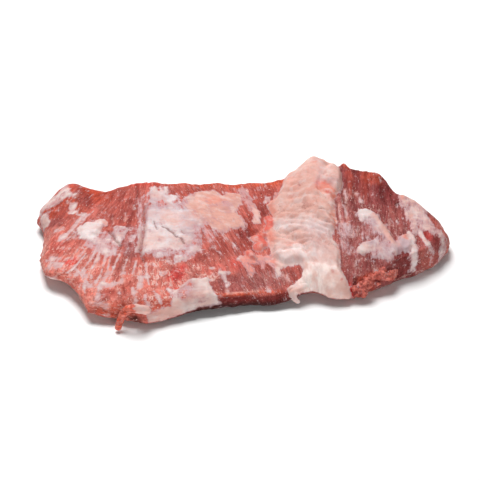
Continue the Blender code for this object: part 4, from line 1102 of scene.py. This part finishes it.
# %% Raw pork: fibres, marbling, film, fat and wet gloss
def raw_pork(name):
    """Raw pork, cut with a knife: dull pink red muscle with pale fibres under wet, waxy fat."""
    material, tree = new_material(name)
    field = {which: add_node(tree, "ShaderNodeAttribute", attribute_name=which).outputs
             for which in ("grain", "fat", "film", "marbling", "crack", "muscle", "fat_tint")}
    noise_of = grain_patterns(tree, field["grain"]["Vector"])
    fibre, streak, grit, cloud = (noise_of[which] for which in ("fibre", "streak", "grit", "cloud"))
    shows = parts_of_finish(tree, noise_of, field)
    fat_here = shows["fat"]

    # Shades for what lies under them: the first where a part is absent, the second where it is full.
    shade = {part: laid_over(tree, (*dark, 1), ([shows[part]], (*light, 1), "MIX")) for part, dark, light in (
        ("bundles", (0.76, 0.68, 0.68), (1.14, 1.14, 1.14)),
        ("fibres", (0.82, 0.76, 0.76), (1.12, 1.16, 1.16)),
        ("mottling", (0.90, 0.83, 0.82), (1.04, 1.05, 1.05)))}

    # Muscle: darker between the bundles, with painted shade in their splits, pale fibres, threads of fat,
    # marbling, film and painted wet glints.
    muscle = laid_over(
        tree, field["muscle"]["Color"],
        ([1.0], shade["bundles"], "MULTIPLY"), ([1.0], shade["fibres"], "MULTIPLY"),
        ([shows["painted_split_shade"]], (0.52, 0.36, 0.36, 1), "MULTIPLY"),
        ([shows["threads"], weighed(tree, 0.16, (field["marbling"]["Fac"], 0.5))], paint("#DB998C"), "MIX"),
        ([shows["marbling"]], paint("#DEA99D"), "MIX"),
        ([shows["strands"], shows["strand clouds"], shows["marbled areas"]], paint("#E3B8AD"), "MIX"),
        ([shows["film"]], paint("#C8A9AC"), "MIX"), ([shows["painted_highlights"]], paint("#E6C7BE"), "MIX"))
    # Fat: clouded, with faint pink and white spots. It is bluish where it is thin. Shade is painted
    # into the cracks and creases of fat and muscle alike.
    soft_fat = laid_over(
        tree, field["fat_tint"]["Color"], ([1.0], shade["mottling"], "MULTIPLY"),
        ([shows["blush"]], paint("#D59C8C"), "MIX"), ([shows["bloom"]], paint("#DACBC8"), "MIX"),
        ([shows["grit"]], paint("#BC8279"), "MIX"))
    colour = laid_over(
        tree, muscle, ([fat_here], soft_fat, "MIX"),
        ([fat_here, weighed(tree, 2.0, (fat_here, -2.0))], paint("#BE9AA0"), "MIX"),
        ([shows["cracks"]], paint("#83534D"), "MIX"))

    # Height in millimetres: fibres stand out on the muscle, and the fat is only a little uneven.
    rise = laid_over(tree, weighed(tree, 0.0, (streak, 0.3), (fibre, 0.5)),
                     ([fat_here], weighed(tree, 0.0, (cloud, 0.5), (grit, 0.25)), "MIX"))
    bump = add_node(tree, "ShaderNodeBump", {"Strength": 0.8, "Distance": 0.8 * MM, "Height": rise})
    gloss = laid_over(tree, weighed(tree, 0.20, (grit, 0.4)),
                      ([fat_here], weighed(tree, 0.26, (grit, 0.4)), "MIX"))
    shader = add_node(tree, "ShaderNodeBsdfPrincipled",
                      {"Base Color": colour, "Roughness": gloss, "Normal": bump.outputs[0], "IOR": 1.4,
                       "Specular IOR Level": 0.06, "Subsurface Weight": 0.22,
                       "Subsurface Radius": (1.0, 0.40, 0.30), "Subsurface Scale": 1.6 * MM,
                       "Coat Weight": 0.01, "Coat Roughness": 0.10})
    add_node(tree, "ShaderNodeOutputMaterial", {"Surface": shader.outputs[0]})
    return material


pork = raw_pork("raw_pork")
skin.data.materials.append(pork)
print("finish:", pork.name, "with", len(pork.node_tree.nodes), "nodes")

# %% [markdown]
# ## Loose ends
#
# A knife leaves tags and shreds at the front edge. Each is a chain of small lumps that are
# melted into one skin by a voxel remesh, which is quick and gives soft, uneven meat. The tags
# follow the ones that the solid has, a little rounder and further out. Noise crinkles what the
# knife tore.

# %% Tags and scraps: (centre, half-sizes) along each tag, and the line of the scraps
MEAT_TAG = [((-56.5, -70.0, 11.5), (3.0, 2.8, 2.6)), ((-60.5, -71.8, 13.6), (3.0, 2.8, 2.8)),
            ((-64, -72.1, 14.4), (3.0, 2.7, 2.8)), ((-67.5, -71.6, 13.0), (2.8, 2.5, 2.7)),
            ((-70.2, -71.6, 10.2), (2.9, 2.4, 2.7)), ((-72.3, -73.1, 6.2), (2.8, 2.2, 2.5)),
            ((-73.5, -75.5, 2.8), (2.1, 1.8, 2.0))]
FAT_TAG = [((38, -43, 10.5), (3.6, 3.0, 2.0)), ((34, -46.5, 9.2), (3.2, 2.6, 2.0)),
           ((31, -48.0, 8.0), (3.0, 2.0, 2.2)), ((32, -49.5, 5.4), (2.6, 1.7, 2.2)),
           ((34, -50.5, 3.6), (1.8, 1.2, 1.5))]
SHRED_LINE = [(68, -43, 6), (73, -42.5, 8), (78, -38.5, 9.5), (83, -35, 9.5), (88, -32, 9.5), (93, -28.5, 9)]
SHRED_COUNT, SHRED_STRAY, LUMP_SEED = 34, 2.2, 12
print("tags of", len(MEAT_TAG), "and", len(FAT_TAG), "places, and", SHRED_COUNT, "scraps")


# %% Lumps melted into one skin
def lumps(name, balls, rng, cell, torn, **finish):
    """One closed lumpy piece: balls of (centre, half-sizes), melted together and crinkled where torn."""
    shape = bmesh.new()
    for centre, size in balls:
        for vert in bmesh.ops.create_icosphere(shape, subdivisions=3, radius=1)["verts"]:
            push = 1 + rng.uniform(-0.08, 0.08)
            vert.co = Vector(c + n * s * push for c, n, s in zip(centre, vert.co, size)) * MM
    rough = bpy.data.meshes.new(name)
    shape.to_mesh(rough)
    shape.free()
    piece = bpy.data.objects.new(name, rough)
    bpy.context.scene.collection.objects.link(piece)
    melt = piece.modifiers.new("melt", "REMESH")
    melt.mode, melt.voxel_size = "VOXEL", cell * MM
    soft = piece.modifiers.new("soft", "SMOOTH")
    soft.factor, soft.iterations = 0.5, 3
    done = bpy.data.meshes.new_from_object(piece.evaluated_get(bpy.context.evaluated_depsgraph_get()))
    piece.modifiers.clear()
    piece.data = done
    place, out = np.empty(3 * len(done.vertices)), np.empty(3 * len(done.vertices))
    done.vertices.foreach_get("co", place)
    done.vertices.foreach_get("normal", out)
    x, y, z = place.reshape(-1, 3).T / MM
    crinkle = (0.6 * noise((x + z) / 2.2, (y + z) / 2.2, seed=51)
               + 0.3 * noise((x - z) / 1.1, (y + z) / 1.1, seed=52))
    done.vertices.foreach_set("co", place + torn * np.repeat(crinkle, 3) * MM * out)
    done.shade_smooth()
    dress(done, **finish)
    done.materials.clear()
    done.materials.append(pork)
    return piece


def along_tag(line, count):
    """This many balls evenly along a tag."""
    share = np.linspace(0, 1, count)
    places = curve_through([place for place, _ in line], share)
    sizes = curve_through([size for _, size in line], share)
    return list(zip(places, np.maximum(sizes, 1.0)))


def fat_cap(x, y, z):
    """The fat on the meat tag: a ragged cap on its bend."""
    return 1.4 * smooth_step(4.2 - np.abs(x + 58.8) + 2.5 * noise(y / 1.8, z / 1.5, seed=5), -1, 1)


print("two tags and a heap of scraps are made of such lumps")

# %% The tags and the scraps
rng = np.random.default_rng(LUMP_SEED)
meat_tag = lumps("meat_tag", along_tag(MEAT_TAG, 22), rng, 0.6, 0.5, fat_over=fat_cap,
                 muscle_over=(("#E0644C", 4.0, 30), (SALMON, 0.5, 3), (VEIN_PINK, 0.3, 2)))
fat_tag = lumps("fat_tag", along_tag(FAT_TAG, 16), rng, 0.6, 0.3, fat_over=lambda x, y, z: 1.5 + 0 * x)
heap = [(place + rng.uniform(-1, 1, 3) * SHRED_STRAY, rng.uniform(1.8, 3.8, 3))
        for place in curve_through(SHRED_LINE, np.linspace(0, 1, SHRED_COUNT))]
scraps = lumps("torn_scraps", heap, rng, 0.5, 1.3, fat_over=lambda x, y, z: 0 * x,
               muscle_over=((DEEP_RED, 0.5, 3), (PINK_RED, 1.3, 2), (SALMON, 1.0, 4)))
print("loose ends:", [len(piece.data.polygons) for piece in (meat_tag, fat_tag, scraps)], "faces")

# %% [markdown]
# ## Flecks of fat along the fibres
#
# Between the fibres of a marbled cut lie hundreds of tiny flecks of fat. They repeat, and they
# follow a surface, so a node tree scatters them: points where the muscle is bare, a small
# drop on each, turned so that it lies along its fibre. The drop has few faces, because there
# are many of them.

# %% A node tree that scatters flecks
FLECKS_PER_SQUARE_METRE = 60000.0        # where "specks" is 1


def fleck_tree(material):
    """Scatters drops over a surface. They lie along its "lay", and there are more where "specks" is high."""
    tree = bpy.data.node_groups.new("flecks_along_fibres", "GeometryNodeTree")
    tree.interface.new_socket("Surface", in_out="INPUT", socket_type="NodeSocketGeometry")
    for name, value in (("Flecks per square metre", FLECKS_PER_SQUARE_METRE), ("Length", 1.0 * MM),
                        ("Width", 0.4 * MM)):
        tree.interface.new_socket(name, in_out="INPUT", socket_type="NodeSocketFloat").default_value = value
    tree.interface.new_socket("Flecks", in_out="OUTPUT", socket_type="NodeSocketGeometry")
    given = add_node(tree, "NodeGroupInput").outputs
    chance = add_node(tree, "GeometryNodeInputNamedAttribute", {"Name": "specks"}, data_type="FLOAT")
    often = add_node(tree, "ShaderNodeMath", {0: chance.outputs[0], 1: given["Flecks per square metre"]},
                     operation="MULTIPLY")
    spots = add_node(tree, "GeometryNodeDistributePointsOnFaces",
                     {"Mesh": given["Surface"], "Density": often.outputs[0], "Seed": 5},
                     distribute_method="RANDOM")
    lay = add_node(tree, "GeometryNodeInputNamedAttribute", {"Name": "lay"}, data_type="FLOAT_VECTOR")
    turn = add_node(tree, "FunctionNodeAlignRotationToVector",
                    {"Rotation": spots.outputs["Rotation"], "Vector": lay.outputs[0]},
                    axis="X", pivot_axis="Z")
    large = add_node(tree, "FunctionNodeRandomValue", {2: 0.4, 3: 1.3, "Seed": 8}, data_type="FLOAT")
    shape = add_node(tree, "ShaderNodeCombineXYZ", {0: given["Length"], 1: given["Width"], 2: given["Width"]})
    size = add_node(tree, "ShaderNodeVectorMath", {0: shape.outputs[0], "Scale": large.outputs[1]},
                    operation="SCALE")
    drop = add_node(tree, "GeometryNodeMeshUVSphere", {"Segments": 6, "Rings": 4, "Radius": 0.5})
    laid = add_node(tree, "GeometryNodeInstanceOnPoints",
                    {"Points": spots.outputs["Points"], "Instance": drop.outputs[0],
                     "Rotation": turn.outputs[0], "Scale": size.outputs[0]})
    real = add_node(tree, "GeometryNodeRealizeInstances", {0: laid.outputs[0]})
    done = add_node(tree, "GeometryNodeSetMaterial", {"Geometry": real.outputs[0], "Material": material})
    add_node(tree, "NodeGroupOutput", {0: done.outputs[0]})
    return tree


print("up to %.0f flecks on a square centimetre" % (FLECKS_PER_SQUARE_METRE / 10000))

# %% The flecks' own finish, and the flecks
def marbling_fat(name):
    """Marbling fat: firm, waxy and nearly white, with a faint pink where it is thin."""
    material, tree = new_material(name)
    place = add_node(tree, "ShaderNodeTexCoord").outputs["Object"]
    tone = add_node(tree, "ShaderNodeTexNoise", {"Vector": place, "Scale": 1 / (4 * MM), "Detail": 2.0})
    colour = laid_over(tree, paint("#D9A79A"), ([tone.outputs["Fac"]], paint("#EAD3CB"), "MIX"))
    shader = add_node(tree, "ShaderNodeBsdfPrincipled", {"Base Color": colour, "Roughness": 0.35,
                                                         "Specular IOR Level": 0.3})
    add_node(tree, "ShaderNodeOutputMaterial", {"Surface": shader.outputs[0]})
    return material


flecks = bpy.data.objects.new("marbling_flecks", skin.data)
bpy.context.scene.collection.objects.link(flecks)
scatter = flecks.modifiers.new("scatter", "NODES")
scatter.node_group = fleck_tree(marbling_fat("marbling_fat"))
for socket in scatter.node_group.interface.items_tree:
    if socket.name == "Flecks per square metre":
        scatter[socket.identifier] = FLECKS_PER_SQUARE_METRE
scattered = bpy.data.meshes.new_from_object(flecks.evaluated_get(bpy.context.evaluated_depsgraph_get()))
flecks.modifiers.clear()
flecks.data = scattered
print("flecks:", len(scattered.polygons) // 24, "with", len(scattered.polygons), "faces")

# %% [markdown]
# ## Floor, light and camera
#
# The cut lies on white, under a wide soft light above and behind it and a pale surround, so
# its front rim is darker and a soft shadow lies before it. A low soft light in front shows the
# rim's shape and gives the wet fibres their gloss. The camera looks down at the cut from the
# front with a long lens.

# %% Floor
def floor_of(size, colour):
    """A plain pale floor."""
    mesh = bpy.data.meshes.new("floor")
    half = size / 2
    corners = [(-half, -half, 0), (half, -half, 0), (half, half, 0), (-half, half, 0)]
    mesh.from_pydata(corners, [], [(0, 1, 2, 3)])
    made = bpy.data.objects.new("floor", mesh)
    bpy.context.scene.collection.objects.link(made)
    material, tree = new_material("matt_white_paint")
    shader = add_node(tree, "ShaderNodeBsdfPrincipled", {"Base Color": (*colour, 1), "Roughness": 0.9})
    add_node(tree, "ShaderNodeOutputMaterial", {"Surface": shader.outputs[0]})
    mesh.materials.append(material)
    return made


floor = floor_of(8.0, (0.97, 0.97, 0.97))
print("floor of", floor.dimensions.x, "m")

# %% Light
world = bpy.data.worlds.new("surround")
bpy.context.scene.world = world
world.use_nodes = True
world.node_tree.nodes["Background"].inputs["Color"].default_value = (1, 1, 1, 1)
world.node_tree.nodes["Background"].inputs["Strength"].default_value = 0.12


def soft_light(name, place, aim, size, power):
    """A square soft light that faces a point."""
    lamp = bpy.data.lights.new(name, "AREA")
    lamp.size, lamp.energy = size, power
    made = bpy.data.objects.new(name, lamp)
    made.location = place
    made.rotation_euler = (Vector(aim) - Vector(place)).to_track_quat("-Z", "Y").to_euler()
    made.visible_camera = False
    bpy.context.scene.collection.objects.link(made)
    return made


soft_light("high_light", (-0.16, 0.50, 1.05), (0, 0, 0), 0.7, 18.6)
soft_light("low_front_light", (0.10, -1.00, 0.12), (0, 0, 0.01), 0.5, 5.5)
print("lights:", [lamp.name for lamp in bpy.data.lights])

# %% Camera
ELEVATION, CAMERA_DISTANCE = math.radians(34), 1.0     # how steeply it looks down, and metres to its aim
AIM = Vector((-1.0, 4.0, 12.0)) * MM
camera = bpy.data.objects.new("camera", bpy.data.cameras.new("camera"))
camera.location = AIM + CAMERA_DISTANCE * Vector((0, -math.cos(ELEVATION), math.sin(ELEVATION)))
camera.rotation_euler = (math.pi / 2 - ELEVATION, 0, 0)
camera.data.sensor_width, camera.data.lens = 36, 118.3
bpy.context.scene.collection.objects.link(camera)
bpy.context.scene.camera = camera
bpy.context.scene.view_settings.view_transform = "Standard"
print("camera %.0f mm lens at" % camera.data.lens, [round(v, 3) for v in camera.location])

# %% Every piece rides on the cut's one body
pieces = (skin, meat_tag, fat_tag, scraps, flecks)
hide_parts("secreto")
for piece in pieces:
    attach(piece, "root")
print("pieces:", [piece.name for piece in pieces])
bpy.context.view_layer.update()
